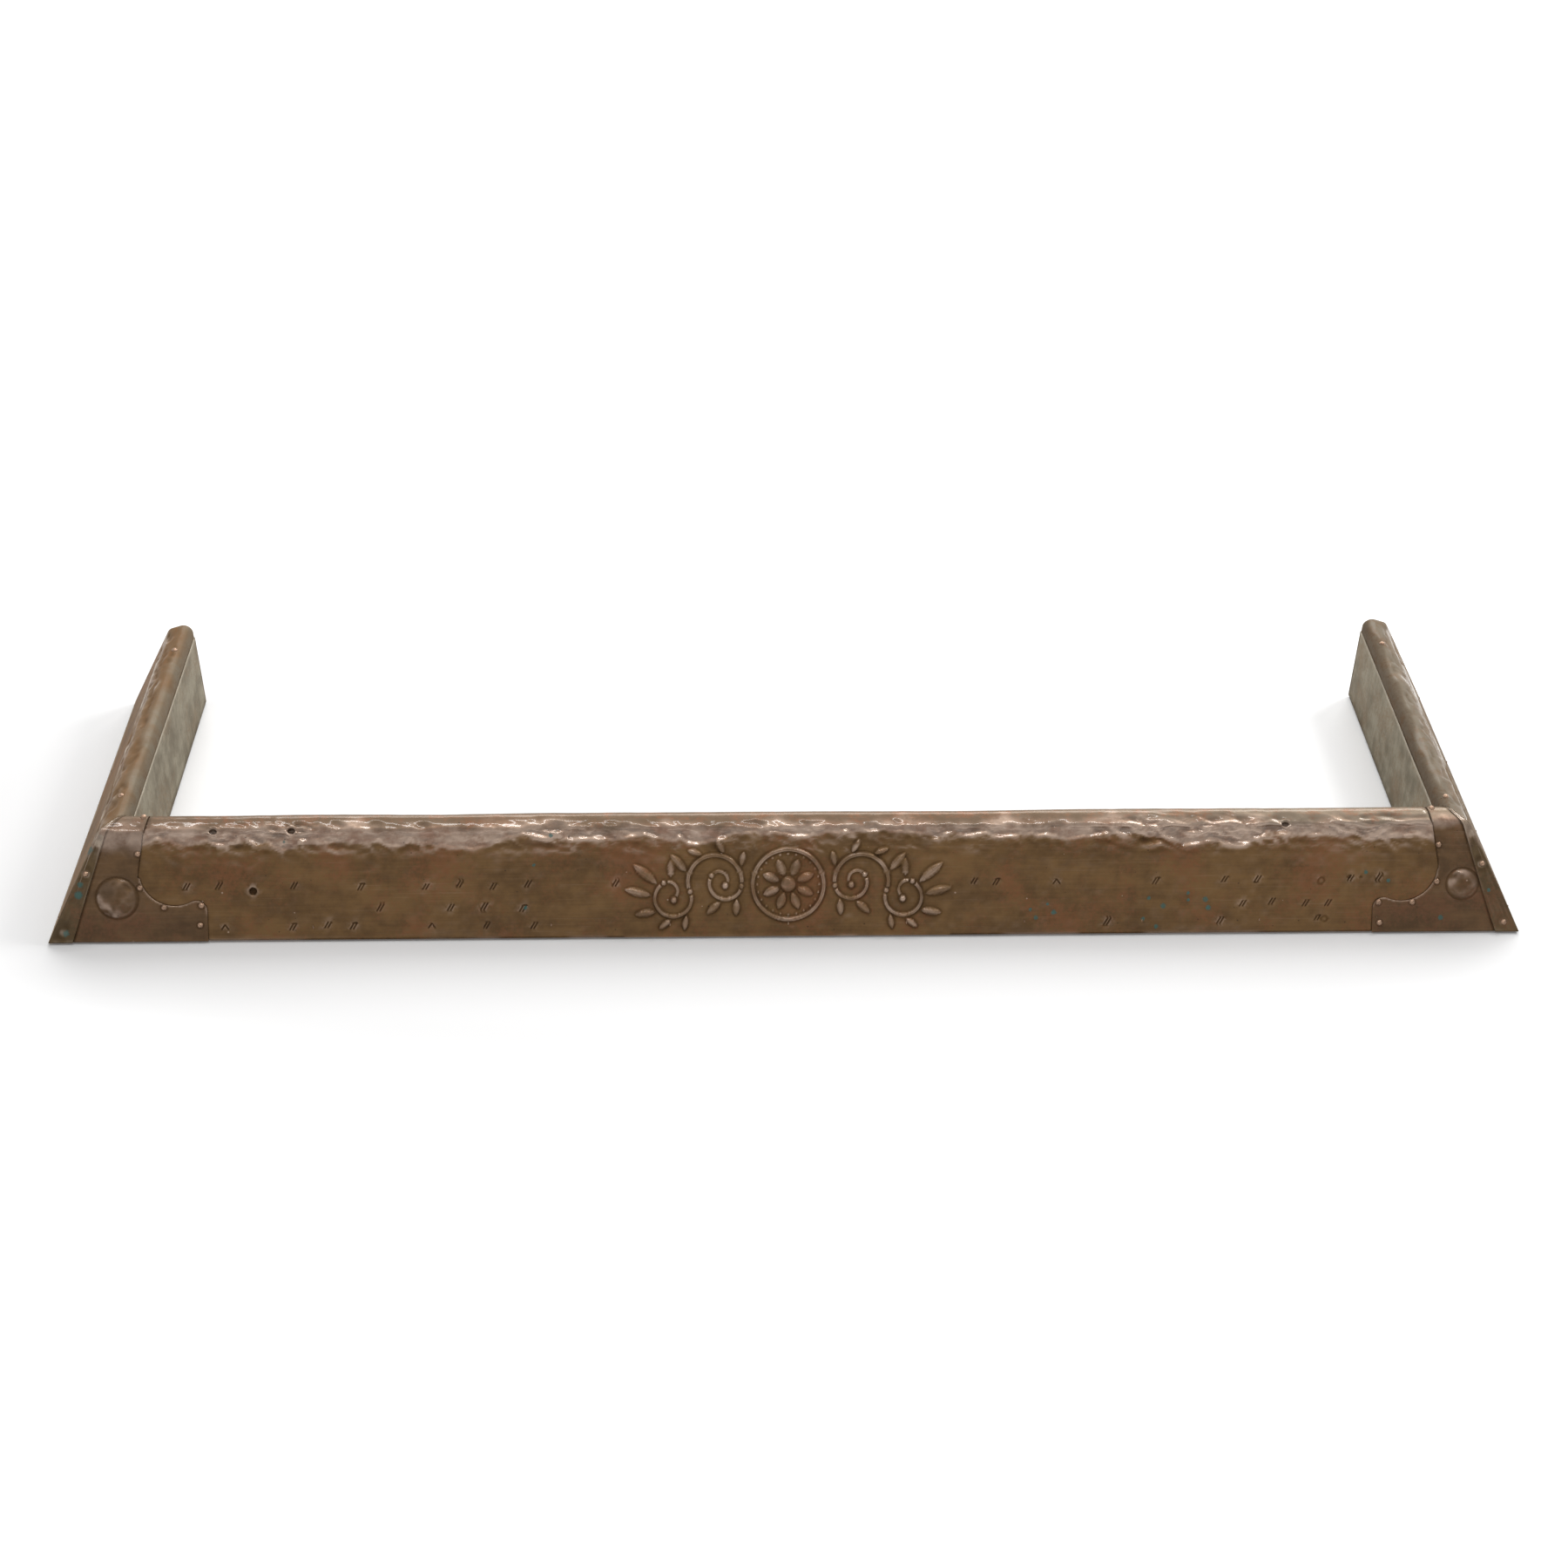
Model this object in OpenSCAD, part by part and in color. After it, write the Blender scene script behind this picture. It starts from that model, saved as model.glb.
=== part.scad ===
// Fire fender: three wedge-shaped wooden kerbs, mitred into a U that stands on the hearth,
// sheathed in thin copper and nailed with dome-headed copper pins.
//
// Every kerb is drawn in its own kerb frame: X runs along the kerb from the outer corner,
// Y runs inwards from the outer base edge and Z is up.

/* [Overall] */
// Width across the outer base edges of the two arms
overall_w = 1370; // [900:10:1800]
// Depth from the front base edge to the rear ends of the arms
overall_d = 390; // [280:5:520]

/* [Kerb section] */
// Height of the rolled top edge above the hearth
kerb_h = 96; // [86:1:104]
// Thickness of a kerb at its base, inner sheet included
kerb_t = 75; // [71:1:92]
// Lean of the outer face from the vertical, in degrees
face_lean = 28.6; // [20:0.2:31]
// Rise of the narrow top towards the inner edge, in degrees
top_rise = 18; // [8:1:24]
// Radius of the roll along the outer top edge
outer_roll_r = 9; // [6:0.5:11]
// Radius of the roll along the inner top edge
inner_roll_r = 9; // [7:0.5:11]

/* [Copper sheet] */
// Thickness of every copper sheet
sheet_t = 0.8; // [0.6:0.1:1.2]
// Gap left between a sheet and whatever it lies on
seat_gap = 0.1; // [0.05:0.05:0.3]
// Depth of the edge that each top sheet turns down on the inner side
turn_down = 14; // [8:1:24]
// Height by which an inner sheet laps over that turned-down edge
inner_lap = 8; // [4:1:12]
// Width of the lips that the sheets turn under the base
lip_w = 12; // [8:1:16]
// Width at the base of the strip that each arm sheet laps round the hip on to the front
lap_w = 22; // [14:1:32]
// Play between the top edge of an inner sheet and a corner plate's turned-down edge
plate_edge_gap = 0.5; // [0.3:0.1:1.5]

/* [Corner plates] */
// Narrowest width of the left corner plate, just above its cove
left_neck = 86; // [70:1:110]
// Narrowest width of the right corner plate, just above its cove
right_neck = 78.5; // [66:0.5:110]
// Length of the left corner plate's toe along the base
left_toe = 147.5; // [136:0.5:158]
// Length of the right corner plate's toe along the base
right_toe = 138.5; // [128:0.5:150]
// Radius of the cove cut into the left corner plate
left_cove_r = 32; // [26:0.5:38]
// Radius of the cove cut into the right corner plate
right_cove_r = 33.5; // [28:0.5:38]
// Height up the face of the lowest point of the left cove
left_cove_low = 34; // [24:0.5:42]
// Height up the face of the lowest point of the right cove
right_cove_low = 30; // [22:0.5:40]
// Radius of the rounded nose at the end of a toe
nose_r = 10; // [7:0.5:12]
// Lean of the neck's free edge away from the corner, in degrees
neck_lean = 10; // [4:1:14]

/* [Bosses] */
// Diameter of the left boss
left_boss_d = 38; // [24:1:44]
// Diameter of the right boss
right_boss_d = 29; // [20:1:40]
// Height of the left boss above its plate
left_boss_h = 7; // [3:0.5:10]
// Height of the right boss above its plate
right_boss_h = 4.5; // [2.5:0.5:8]
// Distance of the left boss from the corner
left_boss_in = 65; // [60:0.5:70]
// Distance of the right boss from the corner
right_boss_in = 55; // [50:0.5:60]
// Height of the left boss's centre up the face
left_boss_up = 41.7; // [36:0.5:48]
// Height of the right boss's centre up the face
right_boss_up = 46; // [40:0.5:52]
// Width of the tooled groove round a boss
boss_groove_w = 1.2; // [0.6:0.1:2]
// Depth of the tooled groove round a boss
boss_groove_t = 0.3; // [0.1:0.05:0.4]

/* [Dome-headed pins] */
// Diameter of a pin's head
pin_head_d = 5.6; // [4:0.1:8]
// Height of a pin's head
pin_head_h = 1.9; // [1.2:0.1:2.6]
// Diameter of a pin's shank
pin_d = 1.6; // [1.2:0.1:2.4]
// Length of a pin's shank
pin_len = 16; // [10:1:22]
// Clearance round a shank in sheet and wood
shank_clear = 0.1; // [0.05:0.05:0.3]
// Distance of a pin from the edge of the sheet that it holds
pin_edge = 2.8; // [2.4:0.1:4]
// Height up the face of the pin in the left corner plate's toe
left_toe_pin_up = 15.6; // [8:0.1:20]
// Height up the face of the pin in the right corner plate's toe
right_toe_pin_up = 9.3; // [6:0.1:18]
// Height up the face of the pin at a corner plate's neck
neck_pin_up = 83; // [74:1:86]
// Height of the lowest pin of a lap strip
lap_pin_low = 8; // [5:0.5:14]
// Height of the middle pin of a lap strip
lap_pin_mid = 57; // [45:1:62]
// Height of the lost pin where the right lap strip meets the roll
lap_pin_high = 82; // [76:0.5:83]
// Distance from the front of the pin in the top of the left arm
left_top_pin_along = 100; // [90:1:140]
// Distance from the front of the pin at the inner end of the right lap
right_top_pin_along = 84; // [80:1:100]
// Distance of the rearmost pin from the rear end of an arm
rear_pin_in = 46; // [30:1:80]

/* [Lost pins] */
// Diameter of the hole that a lost pin has left
lost_hole_d = 2.6; // [1.8:0.1:4]
// Depth of such a hole
lost_hole_t = 12; // [6:1:16]
// Places of the lost pins along the front's roll, from the middle
lost_roll_x = [-530, -458, 463];
// Place along the front of the lost pin in its face, from the middle
lost_face_x = -495; // [-500:5:-300]
// Height up the face of that lost pin
lost_face_up = 47; // [20:1:70]

/* [Flat tacks] */
// Diameter of a flat tack's head
tack_head_d = 5; // [3.5:0.1:7]
// Thickness of a flat tack's head
tack_head_t = 0.5; // [0.3:0.05:0.6]
// Diameter of a flat tack's shank
tack_d = 1.5; // [1:0.1:2]
// Length of a flat tack below its head
tack_len = 12; // [8:1:16]
// Greatest spacing of the tacks along a lip
tack_pitch = 120; // [60:5:160]
// Distance of the first and last tack from the end of its lip
tack_end_in = 24; // [16:1:40]
// Inset of an end cap's tacks from the outline of the wood
cap_tack_in = 10; // [8:0.5:14]

/* [Mitre screws] */
// Diameter of a screw's shank
screw_d = 4.5; // [3.5:0.1:6]
// Diameter of a screw's countersunk head
screw_head_d = 8.6; // [7:0.1:10]
// Length of a screw, head included
screw_len = 50; // [44:1:60]
// Depth of the screwdriver slot
slot_t = 1.2; // [0.6:0.1:1.6]
// Height of the lower screw of a mitre
screw_low = 28; // [22:1:34]
// Height of the upper screw of a mitre
screw_high = 58; // [50:1:62]
// Distance of a mitre's screws from the front base edge
screw_in = 56; // [50:1:60]

/* [Raised ornament] */
// Height of the raised ornament above the face
relief_h = 3.6; // [1.5:0.1:5]
// Height up the face of the ornament's centre line
relief_up = 50; // [46:0.5:54]
// Radius of the beaded ring round the flower
ring_r = 33; // [30:0.5:35]
// Thickness of the ring and of the scroll stems
stem_d = 4.4; // [2:0.1:6]
// Number of petals of the flower
petals = 8; // [5:1:10]
// Number of beads inside the ring
beads = 24; // [12:1:28]
// Radius of the scroll next to the ring
scroll_r = 25; // [20:0.5:27]
// Radius of the small scroll at the ornament's end
tail_r = 17; // [13:0.5:19]
// Length of the ornament's largest leaves
leaf_l = 30; // [20:1:34]
// Height of a leaf's rim above the face
leaf_rim_h = 0.8; // [0.3:0.1:1.2]
// Diameter of the collars that join the stems
collar_d = 5.2; // [4:0.1:6]
// Diameter of a bead
bead_d = 2.6; // [2:0.1:3]
// Width of the sunk line that parts the raised forms
sunk_line = 0.6; // [0.4:0.1:1]

/* [Hidden] */
$fn = 48;
arc_step = 9;                              // degrees between the points of a drawn arc

// Which kerb a piece belongs to: the arms' sheets lie outermost, and on the front two more
// thicknesses of sheet come under their laps.
ARM = 0;
FRONT = 2;
PLATE = 1;
// Which hand a piece belongs to
LEFT = 0;
RIGHT = 1;

copper = [0.45, 0.32, 0.21];
dark_copper = [0.40, 0.29, 0.20];
bright_copper = [0.66, 0.46, 0.33];
inner_copper = [0.49, 0.44, 0.37];
pine = [0.72, 0.56, 0.37];
steel = [0.45, 0.45, 0.46];

over = 1;                                  // how far cutters run past what they cut
front_y = -overall_d / 2;
roll_t = kerb_t - sheet_t - seat_gap;      // outer base edge to the line of the turned-down edge
turn_z = kerb_h - inner_roll_r - turn_down;
inner_top = turn_z + inner_lap;            // top edge of the inner sheets
shank_hole_d = pin_d + 2 * shank_clear;
tack_hole_d = tack_d + 2 * shank_clear;
screw_hole_d = screw_d + 2 * shank_clear;
relief_w = -layer(FRONT);                  // the front sheet's face, measured outwards
roll_tilt = (90 - face_lean + top_rise) / 2;

// Depth of layer n below the outermost copper
function layer(n) = n * (sheet_t + seat_gap);

// The section's two roll centres, as [in from the outer base edge, height]
inner_roll_at = [roll_t - inner_roll_r, kerb_h - inner_roll_r];
top_line = inner_roll_at * [-sin(top_rise), cos(top_rise)] + inner_roll_r;
outer_roll_at = [
    outer_roll_r * cos(top_rise) + (top_line - outer_roll_r) * sin(face_lean),
    (top_line - outer_roll_r) * cos(face_lean) + outer_roll_r * sin(top_rise)
] / cos(face_lean + top_rise);

// How far in the outer face of layer n lies at height z
function face_in(n, z) = layer(n) / cos(face_lean) + z * tan(face_lean);
// How far in the inner face of the wood lies on a kerb whose sheet is layer n
function wood_back(n) = roll_t - layer(n);
// Height of the top surface of layer 0 at distance s in from the outer base edge
function top_z(s) = (top_line + s * sin(top_rise)) / cos(top_rise);
// Evenly spaced places from a to b, no further apart than pitch
function spaced(a, b, pitch) = let (n = ceil((b - a) / pitch)) [for (i = [0 : n]) a + (b - a) * i / n];
function sphere_r(d, h) = (d * d / 4 + h * h) / (2 * h);
function polar(r, a) = r * [cos(a), sin(a)];

// ---------------------------------------------------------------- kerb frames

module front_frame() translate([-overall_w / 2, front_y, 0]) children();
// The left arm's kerb frame is the front's, turned over the mitre's diagonal
module arm_frame() translate([-overall_w / 2, front_y, 0]) mirror([1, -1, 0]) children();
module hand(side) mirror([side, 0, 0]) children();

// On the sloping outer face: X along, Y up the face, Z outwards from the outermost copper
module on_face(along, up) translate([along, 0, 0]) rotate([90 - face_lean, 0, 0]) translate([0, up, 0]) children();
// On the outer roll, Z along the mean normal
module on_outer_roll(along)
    translate([along, outer_roll_at[0], outer_roll_at[1]]) rotate([roll_tilt, 0, 0])
        translate([0, 0, outer_roll_r]) children();
// On the inner roll, Z upwards
module on_inner_roll(along) translate([along, inner_roll_at[0], kerb_h]) children();
// On the narrow top at distance s from the outer base edge
module on_top(along, s) translate([along, s, top_z(s)]) rotate([top_rise, 0, 0]) children();

// ---------------------------------------------------------------- sections

// Points round a centre from angle a to angle b, at most arc_step degrees apart
function arc(centre, r, a, b) = let (n = ceil(abs(b - a) / arc_step))
    [for (i = [0 : n]) centre + polar(r, a + (b - a) * i / n)];

// Outline of the outer face, both rolls and the inner line, taken depth d inside the outermost
// copper, from height a on the face to height b on the inner line
function wedge(d, a, b) = concat(
    [[d / cos(face_lean) + a * tan(face_lean), a]],
    arc(outer_roll_at, outer_roll_r - d, 180 - face_lean, 90 + top_rise),
    arc(inner_roll_at, inner_roll_r - d, 90 + top_rise, 0),
    [[roll_t - d, b]]
);
function reversed(list) = [for (i = [len(list) - 1 : -1 : 0]) list[i]];

// Copper of layer n over face and rolls, cut off at the hearth, turned down inside to height z
module skin_section(n, z) polygon(concat(
    wedge(layer(n), 0, z), reversed(wedge(layer(n) + sheet_t, sheet_t, z)),
    [[(layer(n) + sheet_t) / cos(face_lean), 0]]
));

// The same sheet with the lip that it turns under the base
module lipped_section(n, z) {
    lip_end = face_in(n, 0) + lip_w;
    polygon(concat(
        [[lip_end, 0]], wedge(layer(n), 0, z),
        reversed(wedge(layer(n) + sheet_t, sheet_t, z)), [[lip_end, sheet_t]]
    ));
}

// Inner sheet of a kerb whose top sheet is layer n, with its own lip
module inner_section(n) {
    face = wood_back(n) + seat_gap + sheet_t;
    lip_end = face - lip_w;
    polygon([
        [lip_end, 0], [face, 0], [face, inner_top], [face - sheet_t, inner_top],
        [face - sheet_t, sheet_t], [lip_end, sheet_t]
    ]);
}

// Wooden former under a top sheet of layer n, rebated for lips and turned-down edge
module former_section(n) {
    rebate = sheet_t + seat_gap;
    outer_lip = face_in(n, 0) + lip_w + seat_gap;
    inner_lip = wood_back(n) + sheet_t - lip_w;
    polygon(concat(
        [[outer_lip, 0], [outer_lip, rebate]],
        wedge(layer(n + 1), rebate, turn_z - seat_gap),
        [[wood_back(n), turn_z - seat_gap], [wood_back(n), rebate], [inner_lip, rebate], [inner_lip, 0]]
    ));
}

// Outline of a kerb's rear end, top sheet and inner sheet included
module end_section() polygon(concat(wedge(0, 0, inner_top), [[kerb_t, inner_top], [kerb_t, 0]]));

// ---------------------------------------------------------------- kerbs

module run(length) rotate([90, 0, 90]) linear_extrude(length) children();
module plan(points) translate([0, 0, -over]) linear_extrude(kerb_h + 2 * over) polygon(points);

// Keeps what lies on the front's side of both mitres
module front_mitres() {
    m = kerb_t + over;
    g = seat_gap;
    intersection() {
        children();
        plan([[g, 0], [overall_w - g, 0], [overall_w - m - g, m], [m + g, m]]);
    }
}

// Keeps what lies on the arm's side of its mitre, up to the end cap
module arm_mitre() {
    m = kerb_t + over;
    end = overall_d - sheet_t - seat_gap;
    intersection() {
        children();
        plan([[0, 0], [m, m], [end, m], [end, 0]]);
    }
}

// ---------------------------------------------------------------- fasteners

module shank(d, length) {
    tip = 1.5 * d;
    translate([0, 0, tip - length]) cylinder(d = d, h = length - tip);
    translate([0, 0, -length]) cylinder(d1 = 0.3, d2 = d, h = tip);
}

// Cap of a sphere that stands on Z = 0
module cap(d, h) {
    r = sphere_r(d, h);
    intersection() {
        translate([0, 0, h - r]) sphere(r);
        cylinder(d = d + 2 * over, h = h + over);
    }
}

module pin() {
    cap(pin_head_d, pin_head_h);
    shank(pin_d, pin_len);
}

module pin_hole() translate([0, 0, -pin_len - shank_clear]) cylinder(d = shank_hole_d, h = pin_len + 2 * over);
module lost_hole() translate([0, 0, -lost_hole_t]) cylinder(d = lost_hole_d, h = lost_hole_t + 2 * over);

// Flat tack whose head lies flush below Z = 0
module tack() {
    translate([0, 0, -tack_head_t]) cylinder(d = tack_head_d, h = tack_head_t);
    translate([0, 0, -tack_head_t]) shank(tack_d, tack_len);
}

module tack_hole() {
    translate([0, 0, -tack_head_t]) cylinder(d = tack_head_d + 2 * shank_clear, h = tack_head_t + over);
    translate([0, 0, -tack_head_t - tack_len - shank_clear]) cylinder(d = tack_hole_d, h = tack_len + over);
}

// Countersunk wood screw, head at Z = 0, pointing down
module screw() {
    head_h = (screw_head_d - screw_d) / 2;
    difference() {
        union() {
            translate([0, 0, -head_h]) cylinder(d1 = screw_d, d2 = screw_head_d, h = head_h);
            shank(screw_d, screw_len);
        }
        translate([-screw_head_d, -0.6, -slot_t]) cube([2 * screw_head_d, 1.2, slot_t + over]);
    }
}

module screw_hole() {
    head_h = (screw_head_d - screw_d) / 2;
    translate([0, 0, -screw_len - shank_clear]) cylinder(d = screw_hole_d, h = screw_len);
    translate([0, 0, -head_h]) cylinder(d1 = screw_hole_d, d2 = screw_head_d + 2 * shank_clear, h = head_h);
    cylinder(d = screw_head_d + 2 * shank_clear, h = kerb_t);
}

// ---------------------------------------------------------------- where the fasteners go

// Corner plate's outline values for one hand
function neck(side) = side == LEFT ? left_neck : right_neck;
function toe(side) = side == LEFT ? left_toe : right_toe;
function cove_r(side) = side == LEFT ? left_cove_r : right_cove_r;
function cove_low(side) = side == LEFT ? left_cove_low : right_cove_low;
function toe_pin_up(side) = side == LEFT ? left_toe_pin_up : right_toe_pin_up;
function cove_at(side) = [neck(side) + cove_r(side), cove_low(side) + cove_r(side)];
// The nose's circle touches the cove's circle
function nose_at(side) = let (
    cove = cove_at(side),
    along = toe(side) - nose_r,
    reach = cove_r(side) + nose_r
) [along, cove[1] - sqrt(reach * reach - pow(along - cove[0], 2))];
function neck_edge(side, up) = let (t = cove_at(side) + polar(cove_r(side), 180 - neck_lean))
    t[0] + (up - t[1]) * tan(neck_lean);

// Pins of a corner plate on the face: neck, two round the cove, nose and toe
function plate_pins(side) = [
    [neck_edge(side, neck_pin_up) - pin_edge, neck_pin_up],
    cove_at(side) + polar(cove_r(side) + pin_edge, 205),
    cove_at(side) + polar(cove_r(side) + pin_edge, 253),
    nose_at(side) + polar(nose_r - pin_edge, 49),
    [toe(side) - 7, toe_pin_up(side)]
];
top_pin_in = outer_roll_at[0] + 10;   // the plate's pin on the narrow top, in from the base edge
top_pin_along = 4.5;                  // its distance from the free edge of the plate

module plate_pin_places(side) {
    for (p = plate_pins(side)) on_face(p[0], p[1]) translate([0, 0, -layer(PLATE)]) children();
    top_up = top_pin_in * sin(face_lean) + top_z(top_pin_in) * cos(face_lean);
    on_top(neck_edge(side, top_up) - top_pin_along, top_pin_in) translate([0, 0, -layer(PLATE)]) children();
}

// Width of the lap strip at distance s in from the outer base edge, and the s where it is cut off
function lap_width(s) = lap_w * (1 - s / roll_t);
lap_end = inner_roll_at[0];
// Middle of the lap strip at height z, as [along, up the face]
function lap_at(z) = let (s = z * tan(face_lean)) [s + lap_width(s) / 2, z / cos(face_lean)];
module lap_place(z) on_face(lap_at(z)[0], lap_at(z)[1]) children();

// The pins still in an arm sheet's lap: both on the right, the middle one alone on the left
module lap_pin_places(side) {
    lap_place(lap_pin_mid) children();
    if (side == RIGHT) lap_place(lap_pin_low) children();
}

// The lost pins of the laps
module lap_lost_places(side) {
    if (side == LEFT) lap_place(lap_pin_low) children();
    if (side == RIGHT) lap_place(lap_pin_high) children();
}

// Pins in the top of an arm, near the mitre and near the rear end
module arm_pin_places(side) {
    if (side == LEFT) on_top(left_top_pin_along, top_pin_in - 4) children();
    if (side == RIGHT) on_inner_roll(right_top_pin_along) children();
    on_inner_roll(overall_d - rear_pin_in) children();
}

module front_lost_places() {
    for (x = lost_roll_x) on_outer_roll(overall_w / 2 + x) translate([0, 0, -layer(FRONT)]) children();
    on_face(overall_w / 2 + lost_face_x, lost_face_up) translate([0, 0, -layer(FRONT)]) children();
}

// Tacks under the lips of a kerb whose sheet is layer n, between two places along it
module lip_places(n, outer_from, outer_to, inner_from, inner_to) {
    for (x = spaced(outer_from, outer_to, tack_pitch))
        translate([x, face_in(n, 0) + lip_w / 2, 0]) rotate([180, 0, 0]) children();
    for (x = spaced(inner_from, inner_to, tack_pitch))
        translate([x, wood_back(n) + seat_gap - lip_w / 2, 0]) rotate([180, 0, 0]) children();
}

module front_lip_places()
    lip_places(FRONT, tack_end_in, overall_w - tack_end_in, kerb_t + tack_end_in, overall_w - kerb_t - tack_end_in)
        children();
module arm_lip_places()
    lip_places(ARM, tack_end_in, overall_d - tack_end_in, kerb_t + tack_end_in, overall_d - tack_end_in) children();

// Tacks of an end cap: two low down and one under the roll
module end_places()
    for (p = [
        [face_in(1, 2 * cap_tack_in) + cap_tack_in, 2 * cap_tack_in],
        [wood_back(0) - cap_tack_in, 2 * cap_tack_in],
        [inner_roll_at[0], inner_roll_at[1] - cap_tack_in]
    ]) translate([overall_d, p[0], p[1]]) rotate([0, 90, 0]) children();

// Two screws from the outer side of an arm through its mitre into the front
module screw_places()
    for (z = [screw_low, screw_high])
        translate([screw_in, face_in(1, z) + screw_head_d * tan(face_lean) / 2 + over, z]) rotate([90, 0, 0])
            children();

// ---------------------------------------------------------------- raised ornament

// Everything raised stands apart by a narrow sunk line, and its root lies inside the sheet.

// Pointed leaf from the origin along X, two bevelled halves that meet in an arched ridge
module leaf(length, width) {
    side_r = sphere_r(length, width / 2);
    ridge_r = sphere_r(1.3 * length, relief_h);
    intersection() {
        intersection_for(side = [-1, 1]) translate([length / 2, side * (side_r - width / 2), -relief_h])
            cylinder(r = side_r, h = 3 * relief_h);
        translate([length / 2, 0, relief_h - ridge_r]) rotate([90, 0, 0])
            cylinder(r = ridge_r, h = 2 * width, center = true);
        rotate([90, 0, 90]) linear_extrude(length) polygon([
            [-width / 2, -sheet_t / 2], [width / 2, -sheet_t / 2], [width / 2, leaf_rim_h],
            [0, relief_h], [-width / 2, leaf_rim_h]
        ]);
    }
}

// Bevelled bar of thickness d bent to radius r, as a section to be revolved
module stem_section(r, d) polygon([
    [r - d / 2, -sheet_t / 2], [r + d / 2, -sheet_t / 2], [r + d / 2, d / 6],
    [r + d / 5, d / 2], [r - d / 5, d / 2], [r - d / 2, d / 6]
]);

// Stem bent round the origin from angle a to angle b, cut back at both ends for a collar
module stem(r, a, b, d) {
    back = (collar_d / 2 + sunk_line) / r * 180 / PI;
    rotate([0, 0, a + back]) rotate_extrude(angle = b - a - 2 * back) stem_section(r, d);
}

module berry(d, h) translate([0, 0, -sheet_t / 2]) cap(d, h + sheet_t / 2);

// Leaf growing from the outer side of a stem of radius r at angle a, leaning over by lean
module side_leaf(r, a, lean, length, width)
    translate(polar(r + stem_d / 2 + sunk_line, a)) rotate([0, 0, a + lean]) leaf(length, width);

// Flower with a domed heart inside a ring with beads
module flower() {
    heart_d = 15;
    petal_l = ring_r - heart_d / 2 - stem_d - 3.4;
    berry(heart_d, relief_h);
    for (i = [0 : petals - 1]) rotate([0, 0, (i + 0.5) * 360 / petals])
        translate([heart_d / 2 + sunk_line, 0, 0]) leaf(petal_l, min(0.72 * petal_l, 5 * heart_d / petals));
    rotate_extrude() stem_section(ring_r, stem_d);
    for (i = [0 : beads - 1]) translate(polar(ring_r - stem_d / 2 - bead_d / 2 - sunk_line, i * 360 / beads))
        berry(bead_d, bead_d / 2);
}

// Leaf scroll on one side of the flower: a large volute that runs out into a small one, its
// stem thinning at every collar
module scroll() {
    mid_d = 0.86 * stem_d;
    thin_d = 0.72 * stem_d;
    turn = -22;                            // direction from the large volute to the small one
    start = 190;                           // where the large volute begins to curl inwards
    curl_r = 0.6 * scroll_r;
    eye_r = 0.32 * scroll_r;
    big = [ring_r + scroll_r + 10, 3];
    small = big + polar(scroll_r + tail_r, turn);
    curl = polar(scroll_r - curl_r, start);
    eye = curl + polar(curl_r - eye_r, 30);
    translate(big) {
        stem(scroll_r, turn, start, stem_d);
        translate(curl) stem(curl_r, start, 390, mid_d);
        translate(eye) stem(eye_r, 30, 220, thin_d);
        for (at = [polar(scroll_r, turn), polar(scroll_r, start), eye + polar(eye_r, 30)])
            translate(at) berry(collar_d, stem_d / 2);
        translate(eye + polar(eye_r, 225)) berry(1.3 * collar_d, relief_h);
        for (a = [150, 108, 66]) side_leaf(scroll_r, a, -48, 0.5 * leaf_l, 7);
        side_leaf(scroll_r, 20, 28, 0.75 * leaf_l, 9);
        translate(curl) {
            side_leaf(curl_r, 235, 38, 0.55 * leaf_l, 8);
            side_leaf(curl_r, 285, 34, 0.6 * leaf_l, 8);
        }
    }
    translate(small) {
        stem(tail_r, 180 + turn, 420, mid_d);
        translate(polar(tail_r / 2, 60)) {
            stem(tail_r / 2, 60, 240, thin_d);
            translate(polar(tail_r / 2, 60)) berry(collar_d, stem_d / 2);
        }
        translate(polar(1.5, 250)) berry(1.3 * collar_d, relief_h);
        for (a = [232, 276]) side_leaf(tail_r, a, 46, 0.5 * leaf_l, 7);
        side_leaf(tail_r, 322, 30, 0.7 * leaf_l, 8);
        side_leaf(tail_r, 8, 6, 0.9 * leaf_l, 9);
        side_leaf(tail_r, 44, -4, leaf_l, 10);
        side_leaf(tail_r, 84, 8, 0.6 * leaf_l, 8);
    }
}

// The whole ornament, raised from the front sheet
module ornament() on_face(overall_w / 2, relief_up) translate([0, 0, relief_w]) {
    flower();
    for (side = [LEFT, RIGHT]) hand(side) scroll();
}

// ---------------------------------------------------------------- nodes

module front_former() color(pine) front_frame() difference() {
    front_mitres() run(overall_w) former_section(FRONT);
    for (side = [LEFT, RIGHT]) on_corner(side) {
        plate_pin_places(side) pin_hole();
        lap_pin_places(side) pin_hole();
        lap_lost_places(side) lost_hole();
        mirror([1, -1, 0]) screw_places() screw_hole();
    }
    front_lost_places() lost_hole();
    front_lip_places() tack_hole();
}

// Kerb frame of the front, read from its left or its right corner
module on_corner(side) translate([side * overall_w, 0, 0]) mirror([side, 0, 0]) children();

module arm_former(side) color(pine) hand(side) arm_frame() difference() {
    arm_mitre() run(overall_d) former_section(ARM);
    mirror([1, -1, 0]) lap_pin_places(side) pin_hole();
    screw_places() screw_hole();
    arm_pin_places(side) pin_hole();
    arm_lip_places() tack_hole();
    end_places() tack_hole();
}
module left_arm_former() arm_former(LEFT);
module right_arm_former() arm_former(RIGHT);

module front_sheet() color(copper) front_frame() difference() {
    union() {
        front_mitres() run(overall_w) lipped_section(FRONT, turn_z);
        ornament();
    }
    for (side = [LEFT, RIGHT]) on_corner(side) {
        plate_pin_places(side) pin_hole();
        lap_pin_places(side) pin_hole();
        lap_lost_places(side) lost_hole();
    }
    front_lost_places() lost_hole();
    front_lip_places() tack_hole();
}

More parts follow.
